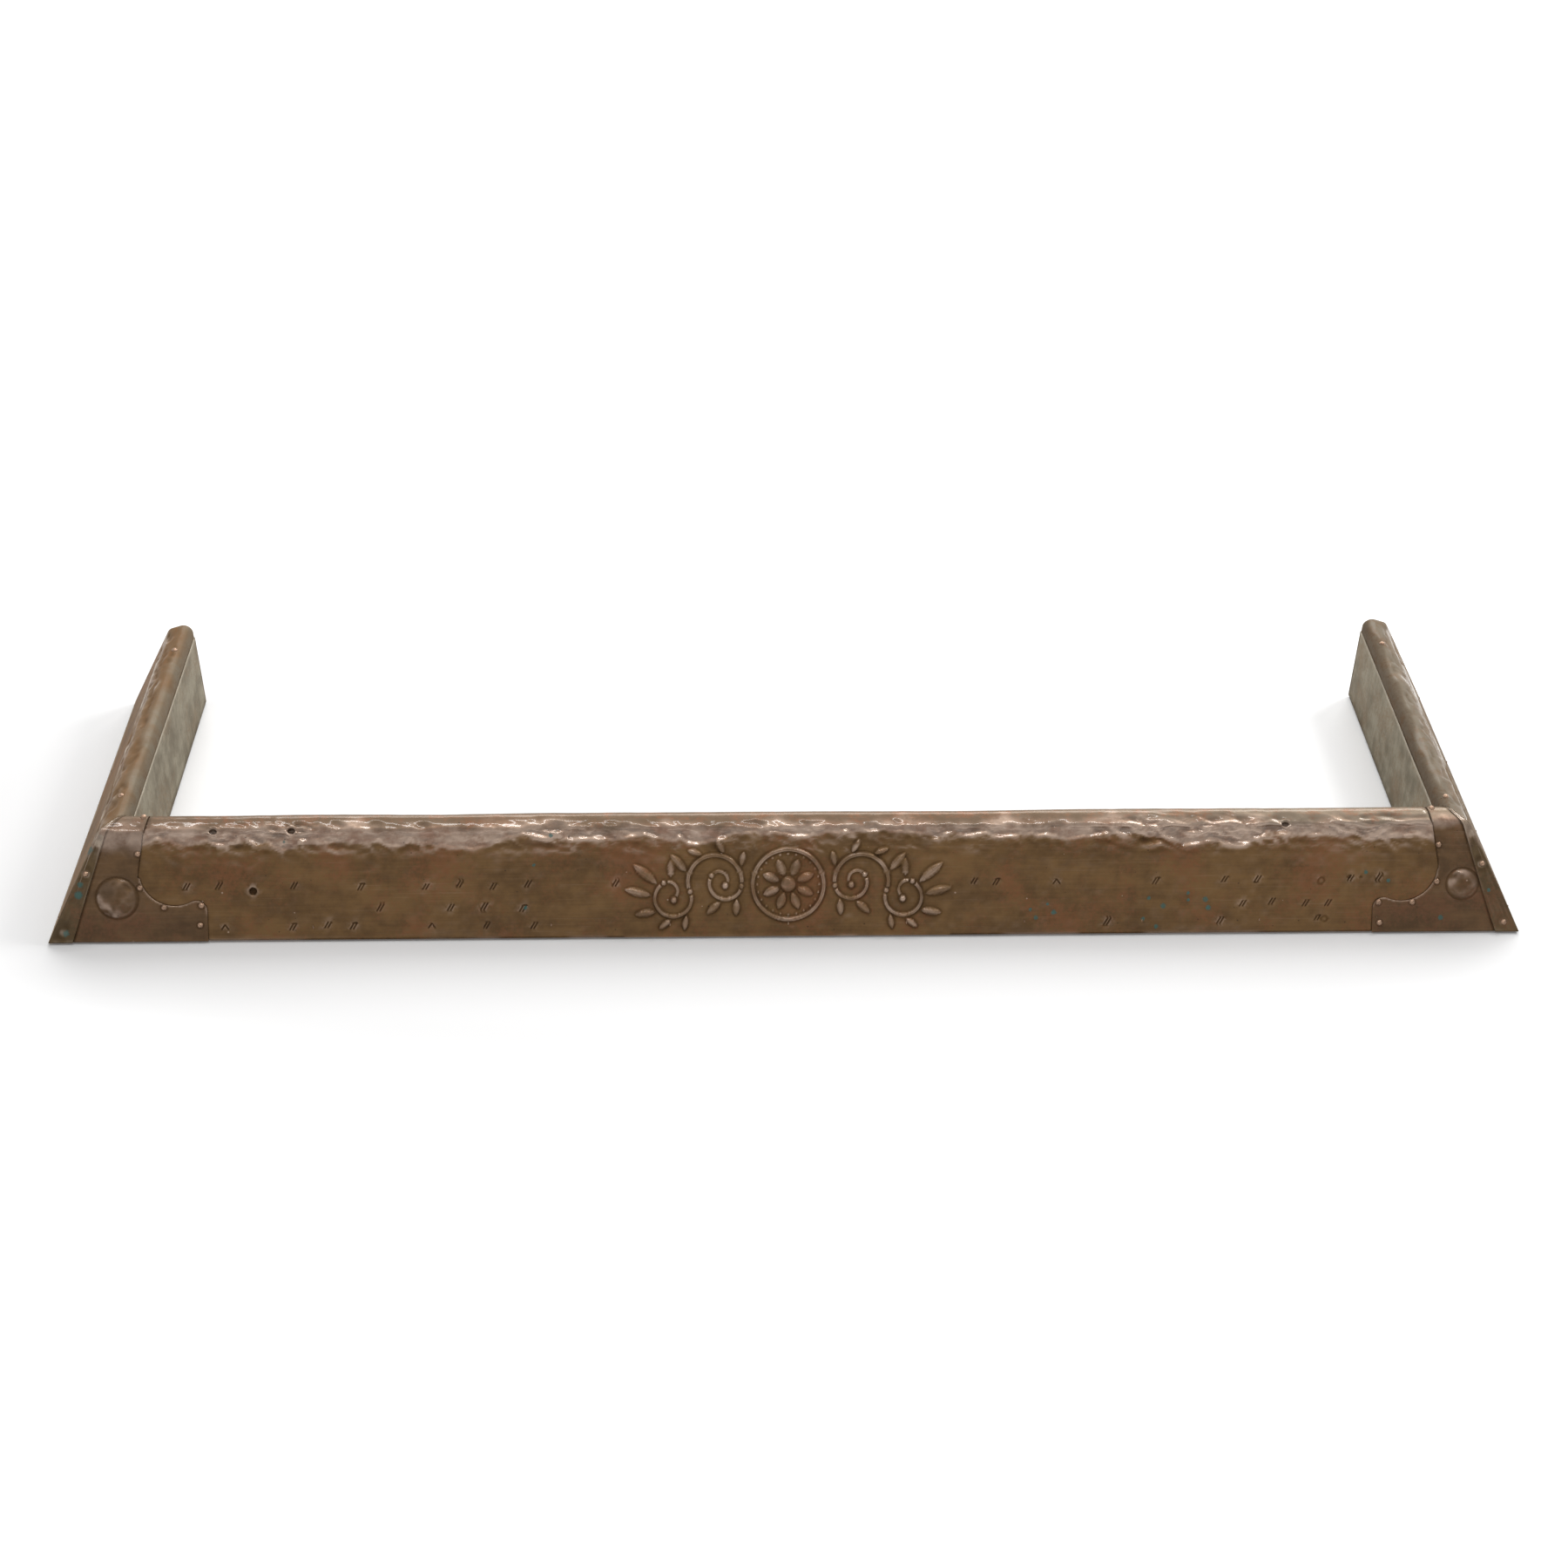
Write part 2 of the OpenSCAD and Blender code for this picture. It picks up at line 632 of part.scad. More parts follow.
// Free edge of a corner plate, drawn on the face: toe, nose, cove and neck
module plate_outline(side) {
    cove = cove_at(side);
    nose = nose_at(side);
    top = 2 * kerb_h;
    meet = atan2(cove[1] - nose[1], cove[0] - nose[0]);
    polygon(concat(
        [[-over, -kerb_t], [toe(side), -kerb_t]],
        arc(nose, nose_r, 0, meet),
        arc(cove, cove_r(side), meet + 180, 180 - neck_lean),
        [[neck_edge(side, top), top], [-over, top]]
    ));
}

// Domed shell of diameter d and height h, its rim let into a plate whose top is Z = 0
module dome(d, h) {
    r = sphere_r(d, h);
    rotate_extrude() intersection() {
        translate([0, h - r]) difference() {
            circle(r);
            circle(r - sheet_t);
        }
        translate([0, -sheet_t]) square([d, h + 2 * sheet_t]);
    }
}

// Boss beaten up from a plate, hollow behind, with a groove tooled round it
module with_boss(d, h, along, up) {
    r = sphere_r(d, h);
    hollow_r = sqrt(pow(r - sheet_t, 2) - pow(r - h - sheet_t, 2));
    difference() {
        children();
        on_face(along, up) translate([0, 0, -layer(PLATE)]) {
            cylinder(d = hollow_r + d / 2, h = 4 * sheet_t, center = true);
            translate([0, 0, -boss_groove_t]) difference() {
                cylinder(d = d + 3 * boss_groove_w, h = h);
                translate([0, 0, -over]) cylinder(d = d + boss_groove_w, h = h + 2 * over);
            }
        }
    }
    on_face(along, up) translate([0, 0, -layer(PLATE)]) dome(d, h);
}

module corner_plate(side, boss_d, boss_h, boss_in, boss_up) color(dark_copper) hand(side) front_frame() difference() {
    with_boss(boss_d, boss_h, boss_in, boss_up) intersection() {
        front_mitres() run(overall_w / 2) skin_section(PLATE, inner_top + plate_edge_gap);
        on_face(0, 0) translate([0, 0, -kerb_h]) linear_extrude(2 * kerb_h) plate_outline(side);
    }
    plate_pin_places(side) pin_hole();
    lap_pin_places(side) pin_hole();
    lap_lost_places(side) lost_hole();
}
module left_corner_plate() corner_plate(LEFT, left_boss_d, left_boss_h, left_boss_in, left_boss_up);
module right_corner_plate() corner_plate(RIGHT, right_boss_d, right_boss_h, right_boss_in, right_boss_up);

// Arm sheet, with the strip that it laps round the hip on to the front
module arm_sheet(side) color(copper) hand(side) {
    arm_frame() difference() {
        arm_mitre() run(overall_d) lipped_section(ARM, turn_z);
        arm_pin_places(side) pin_hole();
        arm_lip_places() tack_hole();
    }
    front_frame() difference() {
        intersection() {
            run(overall_w / 2) skin_section(ARM, turn_z);
            plan([[0, 0], [lap_w, 0], [lap_end + lap_width(lap_end), lap_end], [lap_end, lap_end]]);
        }
        lap_pin_places(side) pin_hole();
        lap_lost_places(side) lost_hole();
    }
}
module left_arm_sheet() arm_sheet(LEFT);
module right_arm_sheet() arm_sheet(RIGHT);

module front_inner_sheet() color(inner_copper) front_frame() difference() {
    front_mitres() run(overall_w) inner_section(FRONT);
    front_lip_places() tack_hole();
}

module inner_sheet(side) color(inner_copper) hand(side) arm_frame() difference() {
    arm_mitre() run(overall_d) inner_section(ARM);
    arm_lip_places() tack_hole();
}
module left_inner_sheet() inner_sheet(LEFT);
module right_inner_sheet() inner_sheet(RIGHT);

module end_cap(side) color(copper) hand(side) arm_frame() difference() {
    translate([overall_d - sheet_t, 0, 0]) run(sheet_t) end_section();
    end_places() tack_hole();
}
module left_end_cap() end_cap(LEFT);
module right_end_cap() end_cap(RIGHT);

module corner_pins(side) color(bright_copper) hand(side) front_frame() plate_pin_places(side) pin();
module left_corner_pins() corner_pins(LEFT);
module right_corner_pins() corner_pins(RIGHT);

module arm_pins(side) color(bright_copper) hand(side) {
    front_frame() lap_pin_places(side) pin();
    arm_frame() arm_pin_places(side) pin();
}
module left_arm_pins() arm_pins(LEFT);
module right_arm_pins() arm_pins(RIGHT);

module mitre_screws(side) color(steel) hand(side) arm_frame() screw_places() screw();
module left_mitre_screws() mitre_screws(LEFT);
module right_mitre_screws() mitre_screws(RIGHT);

module front_base_tacks() color(bright_copper) front_frame() front_lip_places() tack();
module left_base_tacks() color(bright_copper) hand(LEFT) arm_frame() arm_lip_places() tack();
module right_base_tacks() color(bright_copper) hand(RIGHT) arm_frame() arm_lip_places() tack();

module left_end_tacks() color(bright_copper) hand(LEFT) arm_frame() end_places() tack();
module right_end_tacks() color(bright_copper) hand(RIGHT) arm_frame() end_places() tack();

front_former();
left_arm_former();
right_arm_former();
front_sheet();
left_corner_plate();
right_corner_plate();
left_arm_sheet();
right_arm_sheet();
front_inner_sheet();
left_inner_sheet();
right_inner_sheet();
left_end_cap();
right_end_cap();
left_corner_pins();
right_corner_pins();
left_arm_pins();
right_arm_pins();
left_mitre_screws();
right_mitre_screws();
front_base_tacks();
left_base_tacks();
right_base_tacks();
left_end_tacks();
right_end_tacks();
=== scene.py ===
"""Copper fire fender: the dressed pieces that stand on the CAD frame, with finishes, light and camera.

Lengths are in millimetres until Kerb.world puts them in the row frame, in metres. A sheet is first laid
out flat: x runs along its kerb and u runs up the face and over the top.
"""

import logging
import math
from collections.abc import Callable
from dataclasses import dataclass
from enum import Enum

import bmesh
import bpy
import numpy as np
from mathutils import Matrix, Vector


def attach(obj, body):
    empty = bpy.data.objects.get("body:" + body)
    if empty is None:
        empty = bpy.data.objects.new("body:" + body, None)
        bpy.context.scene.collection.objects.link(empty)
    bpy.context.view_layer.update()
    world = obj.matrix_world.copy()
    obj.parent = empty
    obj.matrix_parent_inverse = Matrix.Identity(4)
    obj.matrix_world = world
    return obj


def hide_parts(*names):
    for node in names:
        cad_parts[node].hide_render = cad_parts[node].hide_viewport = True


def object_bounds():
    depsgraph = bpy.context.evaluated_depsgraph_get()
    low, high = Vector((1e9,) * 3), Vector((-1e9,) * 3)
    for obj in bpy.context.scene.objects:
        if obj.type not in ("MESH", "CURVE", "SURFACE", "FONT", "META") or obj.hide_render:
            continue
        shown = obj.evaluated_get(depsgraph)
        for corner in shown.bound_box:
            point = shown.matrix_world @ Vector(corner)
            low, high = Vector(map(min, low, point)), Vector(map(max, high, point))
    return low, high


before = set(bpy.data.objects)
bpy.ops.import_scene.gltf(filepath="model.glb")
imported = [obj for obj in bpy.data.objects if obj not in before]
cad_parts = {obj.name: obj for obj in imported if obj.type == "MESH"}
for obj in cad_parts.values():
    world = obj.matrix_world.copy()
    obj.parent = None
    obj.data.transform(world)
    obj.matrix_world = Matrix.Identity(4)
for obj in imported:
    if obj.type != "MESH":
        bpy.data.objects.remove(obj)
CAD_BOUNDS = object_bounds()

LOG = logging.getLogger("fender")
MM = 0.001
WIDTH, DEPTH = (round((high - low) / MM, 1) for low, high in list(zip(*CAD_BOUNDS))[:2])
HALF = WIDTH / 2
SHEET_T = 0.8
SEAT_GAP = 0.1
LAYER = SHEET_T + SEAT_GAP
LEAN = math.radians(28.6)
RISE = math.radians(18.0)
LIP = 12.0
LAP_WIDTH = 22.0
SHEET_EDGE = 73.0
PLATE_PINS_UP = 83.0

Array = np.ndarray
Point = tuple[float, float, float]
Plane = tuple[Point, Point]
Pair = tuple[float, float]


# ------------------------------------------------------------------ helpers


def smooth(low: float, high: float, value: Array) -> Array:
    """Returns the smooth step of value from 0 at low to 1 at high."""
    t = np.clip((value - low) / (high - low), 0.0, 1.0)
    return t * t * (3.0 - 2.0 * t)


def bump(value: Array, centre: float, reach: float) -> Array:
    """Returns a soft hump of height 1 at centre that ends at the distance reach."""
    return smooth(reach, 0.0, np.abs(value - centre))


@dataclass(frozen=True)
class Noise:
    """Smooth seeded noise over a sheet laid out flat, in cells of a size in millimetres."""

    seed: int
    along: float
    across: float
    octaves: int = 1

    def at(self, x: Array, u: Array) -> Array:
        """Returns the noise at each point.

        Args:
            x: places along the sheet, in millimetres.
            u: places across it, in millimetres.

        Returns:
            Values from about -1 to 1.
        """
        total, amount, most = np.zeros_like(x), 1.0, 0.0
        for octave in range(self.octaves):
            step = 2.0**octave
            layer = self.layer(x * step / self.along, u * step / self.across, octave)
            total = total + amount * layer
            most += amount
            amount *= 0.5
        return total * (1.6 / most)

    def layer(self, gx: Array, gy: Array, octave: int) -> Array:
        """Returns one octave, read off a random lattice with smooth steps between its points.

        Args:
            gx: places along the sheet, in cells.
            gy: places across it, in cells.
            octave: number of the octave, which seeds its lattice.

        Returns:
            Values from -1 to 1.
        """
        size = 256
        table = np.random.default_rng((self.seed, octave)).uniform(-1, 1, (size, size))
        ix, iy = np.floor(gx).astype(int), np.floor(gy).astype(int)
        fx, fy = gx - ix, gy - iy
        fx, fy = fx * fx * (3 - 2 * fx), fy * fy * (3 - 2 * fy)
        x0, x1, y0, y1 = ix % size, (ix + 1) % size, iy % size, (iy + 1) % size
        near = table[x0, y0] * (1 - fx) + table[x1, y0] * fx
        far = table[x0, y1] * (1 - fx) + table[x1, y1] * fx
        return near * (1 - fy) + far * fy


@dataclass(frozen=True)
class Section:
    """Outline of a kerb's outer face, top and rolls, measured by the way u up the face and over."""

    height: float = 96.0
    roll_line: float = 74.1
    outer_r: float = 9.0
    inner_r: float = 9.0

    @property
    def inner_centre(self) -> tuple[float, float]:
        """Centre of the inner roll, as distance in from the base edge and height."""
        return self.roll_line - self.inner_r, self.height - self.inner_r

    @property
    def outer_centre(self) -> tuple[float, float]:
        """Centre of the outer roll, which touches the leaning face and the rising top."""
        s, z = self.inner_centre
        top = -s * math.sin(RISE) + z * math.cos(RISE) + self.inner_r - self.outer_r
        side = self.outer_r
        both = math.cos(LEAN + RISE)
        return (
            (side * math.cos(RISE) + top * math.sin(LEAN)) / both,
            (top * math.cos(LEAN) + side * math.sin(RISE)) / both,
        )

    @property
    def marks(self) -> tuple[float, float, float, float]:
        """Values of u where the face, the outer roll, the top and the inner roll end."""
        s, z = self.outer_centre
        face = s * math.sin(LEAN) + z * math.cos(LEAN)
        roll = face + self.outer_r * (math.pi / 2 - LEAN - RISE)
        top = roll + math.hypot(self.inner_centre[0] - s, self.inner_centre[1] - z)
        return face, roll, top, top + self.inner_r * (math.pi / 2 + RISE)

    def down_to(self, z: float) -> float:
        """Returns the u at which the turned-down edge reaches the height z."""
        return self.marks[3] + self.inner_centre[1] - z

    def place(self, u: Array, depth: Array | float) -> tuple[Array, Array]:
        """Places points of the outline, or of the lip under the base where u is below 0.

        Args:
            u: the way up and over, in millimetres.
            depth: distance inside the outermost copper.

        Returns:
            The distance in from the outer base edge and the height of each point.
        """
        face, roll, top, inner = self.marks
        start, flat = math.pi - LEAN, math.pi / 2 + RISE
        angle = np.interp(u, [face, roll, top, inner], [start, flat, flat, 0.0])
        ns, nz = np.cos(angle), np.sin(angle)
        (os, oz), (is_, iz) = self.outer_centre, self.inner_centre
        run = u - roll
        where = [u <= face, u <= roll, u <= top, u <= inner]
        s = np.select(
            where,
            [
                u * math.sin(LEAN),
                os + self.outer_r * ns,
                os + self.outer_r * ns + run * math.cos(RISE),
                is_ + self.inner_r * ns,
            ],
            self.roll_line,
        )
        z = np.select(
            where,
            [
                u * math.cos(LEAN),
                oz + self.outer_r * nz,
                oz + self.outer_r * nz + run * math.sin(RISE),
                iz + self.inner_r * nz,
            ],
            iz - (u - inner),
        )
        s, z = s - depth * ns, z - depth * nz
        below = np.where(u < 0, 0.0, np.minimum(z, 0.0))
        s, z = s - below * math.tan(LEAN), z - below
        deep = np.asarray(depth, float)
        in_sheet = deep - LAYER * np.floor(deep / LAYER + 0.01)
        return np.where(u < 0, -u + depth / math.cos(LEAN), s), np.where(u < 0, in_sheet, z)

    def up(self, u: Array) -> Array:
        """Returns the height of the outline above the base edge, measured square to the face."""
        s, z = self.place(u, 0.0)
        return s * math.sin(LEAN) + z * math.cos(LEAN)


SECTION = Section()


class Kerb(Enum):
    """The three kerbs, each with its own frame: x along, s inwards, z up."""

    FRONT = "front"
    LEFT = "left"
    RIGHT = "right"

    def world(self, x: Array, s: Array, z: Array) -> Array:
        """Returns the points of this kerb's frame in the row frame, in metres.

        Args:
            x: places along the kerb.
            s: distances in from the outer base edge.
            z: heights above the base.

        Returns:
            One row of x, y and z for each point.
        """
        y0 = -DEPTH / 2
        if self is Kerb.FRONT:
            return np.column_stack([x - HALF, s + y0, z]) * MM
        side = 1.0 if self is Kerb.RIGHT else -1.0
        return np.column_stack([side * (HALF - s), x + y0, z]) * MM

    @property
    def layer(self) -> int:
        """Number of thicknesses of sheet that lie over this kerb's own top sheet."""
        return 2 if self is Kerb.FRONT else 0

    @property
    def mitres(self) -> list[Plane]:
        """Planes that end this kerb, each as a point and the direction that is cut away."""
        if self is Kerb.FRONT:
            return [
                ((SEAT_GAP, 0, 0), (-1, 1, 0)),
                ((WIDTH - SEAT_GAP, 0, 0), (1, 1, 0)),
            ]
        return [((0, 0, 0), (-1, 1, 0)), ((DEPTH - LAYER, 0, 0), (1, 0, 0))]

    @property
    def length(self) -> float:
        """Length of the kerb along its outer base edge."""
        return WIDTH if self is Kerb.FRONT else DEPTH


Bend = Callable[[Array, Array], tuple[Array, Array]]


@dataclass
class Flat:
    """Bare numbers of a mesh under way: where each vertex lies on the sheet laid out flat."""

    x: Array
    u: Array
    depth: Array


class Metal:
    """Mesh of a bent sheet, kept with each vertex's place on the flat sheet until it is finished."""

    def __init__(self, outer: float, place: Bend | None = None) -> None:
        """Starts an empty mesh whose outer face lies at the depth outer.

        Args:
            outer: depth of the outer face inside the outermost copper.
            place: how points of the flat sheet are bent, or None for the kerb's section.
        """
        self.outer = outer
        self.place = place or SECTION.place
        self.bm = bmesh.new()
        self.u = self.bm.verts.layers.float.new("u")
        self.depth = self.bm.verts.layers.float.new("depth")

    def add(self, x: float, u: float, depth: float) -> bmesh.types.BMVert:
        """Adds one vertex at a place of the flat sheet, bent over the section.

        Args:
            x: place along the kerb.
            u: place up and over.
            depth: depth inside the outermost copper.

        Returns:
            The vertex.
        """
        s, z = self.place(np.array([u]), np.array([depth]))
        vert = self.bm.verts.new((x, s[0], z[0]))
        vert[self.u], vert[self.depth] = u, depth
        return vert

    def sweep(self, rows: list[tuple[float, float]], stops: list[tuple[float, int]], start: float) -> None:
        """Sweeps a closed ring along the kerb.

        Args:
            rows: u and depth of each point of the ring.
            stops: x up to which each stretch runs, and its number of steps.
            start: x of the first ring.
        """
        verts = [self.add(start, u, depth) for u, depth in rows]
        edges = [self.bm.edges.new((a, b)) for a, b in zip(verts, verts[1:] + verts[:1])]
        last, at = verts + edges, start
        for stop, steps in stops:
            swept = bmesh.ops.spin(
                self.bm,
                geom=last,
                cent=(0, 0, 0),
                axis=(1, 0, 0),
                dvec=((stop - at) / steps, 0, 0),
                angle=0.0,
                steps=steps,
                use_duplicate=False,
            )
            last, at = swept["geom_last"], stop
        self.close()

    def close(self) -> None:
        """Fills every open end of the mesh."""
        loose = [e for e in self.bm.edges if len(e.link_faces) == 1]
        if loose:
            bmesh.ops.holes_fill(self.bm, edges=loose, sides=0)

    def cut(self, planes: list[Plane]) -> None:
        """Cuts the mesh off at each plane and closes the cut.

        Args:
            planes: planes, each as a point and the direction that is cut away.
        """
        for point, away in planes:
            bmesh.ops.bisect_plane(
                self.bm,
                geom=self.bm.verts[:] + self.bm.edges[:] + self.bm.faces[:],
                dist=1e-5,
                plane_co=point,
                plane_no=away,
                clear_outer=True,
            )
            self.close()

    def refine(self, cuts: int, inside: Callable[[Array, Array], Array]) -> None:
        """Subdivides the outer face where inside(x, u) holds.

        Args:
            cuts: number of cuts along each edge.
            inside: tells from arrays of x and u which edges, by their middles, are cut.
        """
        near = self.outer + 0.01
        edges = [
            e for e in self.bm.edges if all(v[self.depth] < near and v[self.u] >= 0 for v in e.verts)
        ]
        x = np.array([(e.verts[0].co.x + e.verts[1].co.x) / 2 for e in edges])
        u = np.array([(e.verts[0][self.u] + e.verts[1][self.u]) / 2 for e in edges])
        chosen = inside(x, u)
        picked = [e for e, yes in zip(edges, chosen) if yes]
        if picked:
            bmesh.ops.subdivide_edges(self.bm, edges=picked, cuts=cuts, use_grid_fill=True)

    def points(self) -> Array:
        """Returns where each vertex is now."""
        return np.array([v.co[:] for v in self.bm.verts])

    def refine_round(self, x: float, u: float, radius: float) -> None:
        """Subdivides the outer face finely within a radius of a point."""
        self.refine(3, lambda at_x, at_u: np.hypot(at_x - x, at_u - u) < radius)

    def flat(self) -> Flat:
        """Returns the place of each vertex on the flat sheet.

        Returns:
            The places, in the order of the vertices.
        """
        n = len(self.bm.verts)
        x = np.fromiter((v.co.x for v in self.bm.verts), float, n)
        u = np.fromiter((v[self.u] for v in self.bm.verts), float, n)
        depth = np.fromiter((v[self.depth] for v in self.bm.verts), float, n)
        return Flat(x, u, depth)


def to_object(
    bm: bmesh.types.BMesh, name: str, points: Array, values: dict[str, Array] | None = None
) -> bpy.types.Object:
    """Makes the finished object of a mesh.

    Args:
        bm: the mesh, which is freed.
        name: name of the object.
        points: places of its vertices in metres.
        values: attributes of the vertices, by name.

    Returns:
        The object, linked to the scene, at the origin, with outward normals.
    """
    for vert, point in zip(bm.verts, points):
        vert.co = point
    bmesh.ops.recalc_face_normals(bm, faces=bm.faces)
    mesh = bpy.data.meshes.new(name)
    bm.to_mesh(mesh)
    bm.free()
    for key, value in (values or {}).items():
        layer = mesh.attributes.new(key, "FLOAT", "POINT")
        layer.data.foreach_set("value", np.asarray(value, np.float32))
    mesh.shade_smooth()
    obj = bpy.data.objects.new(name, mesh)
    bpy.context.scene.collection.objects.link(obj)
    return obj


# ------------------------------------------------------------------ heights


@dataclass(frozen=True)
class Dent:
    """Hollow left by one blow of the hammer: place, half sizes along and across, depth."""

    x: float
    u: float
    half_x: float
    half_u: float
    depth: float
    lean: float = 0.0


@dataclass(frozen=True)
class Dents:
    """Many hollows with ragged rims, of which the deepest counts at each point."""

    dents: tuple[Dent, ...]
    ragged_x: Noise = Noise(17, 15, 12, 2)
    ragged_u: Noise = Noise(18, 17, 13, 2)

    def at(self, x: Array, u: Array) -> Array:
        """Returns the depth of the hollows at each point, below zero.

        Args:
            x: places along the sheet, in millimetres.
            u: places up and over it, in millimetres.

        Returns:
            Heights in millimetres, 0 or less.
        """
        low = np.zeros_like(x)
        x, u = x + 4.5 * self.ragged_x.at(x, u), u + 2.6 * self.ragged_u.at(x, u)
        for d in self.dents:
            near = np.abs(x - d.x) < d.half_x
            px, pu = x[near] - d.x, u[near] - d.u - d.lean * (x[near] - d.x)
            r = (px / d.half_x) ** 2 + (pu / d.half_u) ** 2
            low[near] = np.minimum(low[near], -d.depth * np.clip(1 - r, 0, 1) ** 1.4)
        return low


class Mark(Enum):
    """Kinds of punched mark on the face."""

    DASHES = "two slanted dashes"
    CHEVRON = "a chevron"


@dataclass(frozen=True)
class PunchMarks:
    """Marks punched lightly into the face, in three rows."""

    marks: tuple[tuple[float, float, Mark], ...]
    depth: float = 0.65
    half_w: float = 0.65
    half_l: float = 3.0

    def stroke(self, x: Array, u: Array, ends: tuple[float, float, float, float]) -> Array:
        """Returns how deep one straight stroke lies at each point, from 0 to 1.

        Args:
            x: places along the sheet, in millimetres.
            u: places up and over it, in millimetres.
            ends: x and u of the stroke's two ends.

        Returns:
            Values from 0 to 1.
        """
        x0, u0, x1, u1 = ends
        run_x, run_u = x1 - x0, u1 - u0
        along = np.clip(((x - x0) * run_x + (u - u0) * run_u) / (run_x**2 + run_u**2), 0, 1)
        away = np.hypot(x - x0 - along * run_x, u - u0 - along * run_u)
        return smooth(self.half_w * 1.7, 0.0, away)

    def at(self, x: Array, u: Array) -> Array:
        """Returns the depth of the marks at each point, below zero.

        Args:
            x: places along the sheet, in millimetres.
            u: places up and over it, in millimetres.

        Returns:
            Heights in millimetres, 0 or less.
        """
        low = np.zeros_like(x)
        length = self.half_l
        for mx, mu, kind in self.marks:
            near = (np.abs(x - mx) < 2 * length) & (np.abs(u - mu) < 2 * length)
            px, pu = x[near] - mx, u[near] - mu
            if kind is Mark.DASHES:
                strokes = [(side - 1.8, -length, side + 1.8, length) for side in (-1.5, 1.3)]
            else:
                strokes = [(side * length, -0.7 * length, 0.0, 0.7 * length) for side in (-1, 1)]
            for ends in strokes:
                low[near] = np.minimum(low[near], -self.depth * self.stroke(px, pu, ends))
        return low

    def near(self, x: Array, u: Array) -> Array:
        """Tells which points lie close enough to a mark to need a finer mesh.

        Args:
            x: places along the sheet, in millimetres.
            u: places up and over it, in millimetres.

        Returns:
            True where the mesh has to be finer.
        """
        found = np.zeros(x.shape, bool)
        for mx, mu, _ in self.marks:
            found |= (np.abs(x - mx) < 5.0) & (np.abs(u - mu) < 4.6)
        return found


def polar(r: float, degrees: float) -> Array:
    """Returns the point at that distance and direction from the origin."""
    return r * np.array([math.cos(math.radians(degrees)), math.sin(math.radians(degrees))])


@dataclass(frozen=True)
class Leaf:
    """Pointed leaf with a midrib, growing from a point in a direction given in degrees."""

    x: float
    u: float
    turn: float
    length: float
    width: float

    def at(self, x: Array, u: Array, relief: float) -> Array:
        """Returns the leaf's height at each point.

        Args:
            x: places along the sheet, in millimetres.
            u: places up and over it, in millimetres.
            relief: height of the whole ornament, in millimetres.

        Returns:
            Heights in millimetres, 0 outside the leaf.
        """
        c, s = math.cos(math.radians(self.turn)), math.sin(math.radians(self.turn))
        p, q = (x - self.x) * c + (u - self.u) * s, (u - self.u) * c - (x - self.x) * s
        half_w = self.width / 2
        side = (self.length**2 / 4 + half_w**2) / (2 * half_w)
        mid = self.length / 2
        edge = np.sqrt(np.clip(side**2 - (p - mid) ** 2, 0, None)) - (side - half_w)
        inside = np.where((p > 0) & (p < self.length), edge - np.abs(q), -1.0)
        arch = 1 - ((p - mid) / (0.62 * self.length)) ** 2
        cross = 1 - 0.72 * (np.abs(q) / half_w)
        vein = 0.32 * np.cos((p - 1.7 * np.abs(q)) * 2 * math.pi / 2.6) * smooth(0.4, 1.2, np.abs(q))
        rib = 0.5 * smooth(0.7, 0.1, np.abs(q))
        height = relief * np.clip(arch, 0.2, 1) * cross - np.clip(vein, 0, 1) - rib
        return np.where(inside > 0, np.clip(height, 0.35, None) * smooth(0.0, 0.9, inside), 0.0)


@dataclass(frozen=True)
class Stem:
    """Rounded bar bent to a circle between two angles in degrees."""

    x: float
    u: float
    r: float
    start: float
    end: float
    d: float

    def at(self, x: Array, u: Array, relief: float) -> Array:
        """Returns the bar's height at each point.

        Args:
            x: places along the sheet, in millimetres.
            u: places up and over it, in millimetres.
            relief: height of the whole ornament, in millimetres; not used.

        Returns:
            Heights in millimetres, 0 outside the bar.
        """
        away = (np.hypot(x - self.x, u - self.u) - self.r) / (self.d / 2)
        turn = (np.degrees(np.arctan2(u - self.u, x - self.x)) - self.start) % 360.0
        span = self.end - self.start
        end = np.minimum(turn, span - turn) * self.r * math.pi / 180 if span < 360 else 9.0 + 0 * turn
        profile = np.sqrt(np.clip(1 - away**2, 0, 1)) - 0.28 * smooth(0.3, 0.0, np.abs(away))
        return np.where(end > 0, 0.62 * self.d * profile * smooth(0.0, 0.8, end), 0.0)


@dataclass(frozen=True)
class Knob:
    """Small dome."""

    x: float
    u: float
    d: float
    h: float

    def at(self, x: Array, u: Array, relief: float) -> Array:
        """Returns the dome's height at each point."""
        r = np.hypot(x - self.x, u - self.u) / (self.d / 2)
        return self.h * np.sqrt(np.clip(1 - r * r, 0, 1))


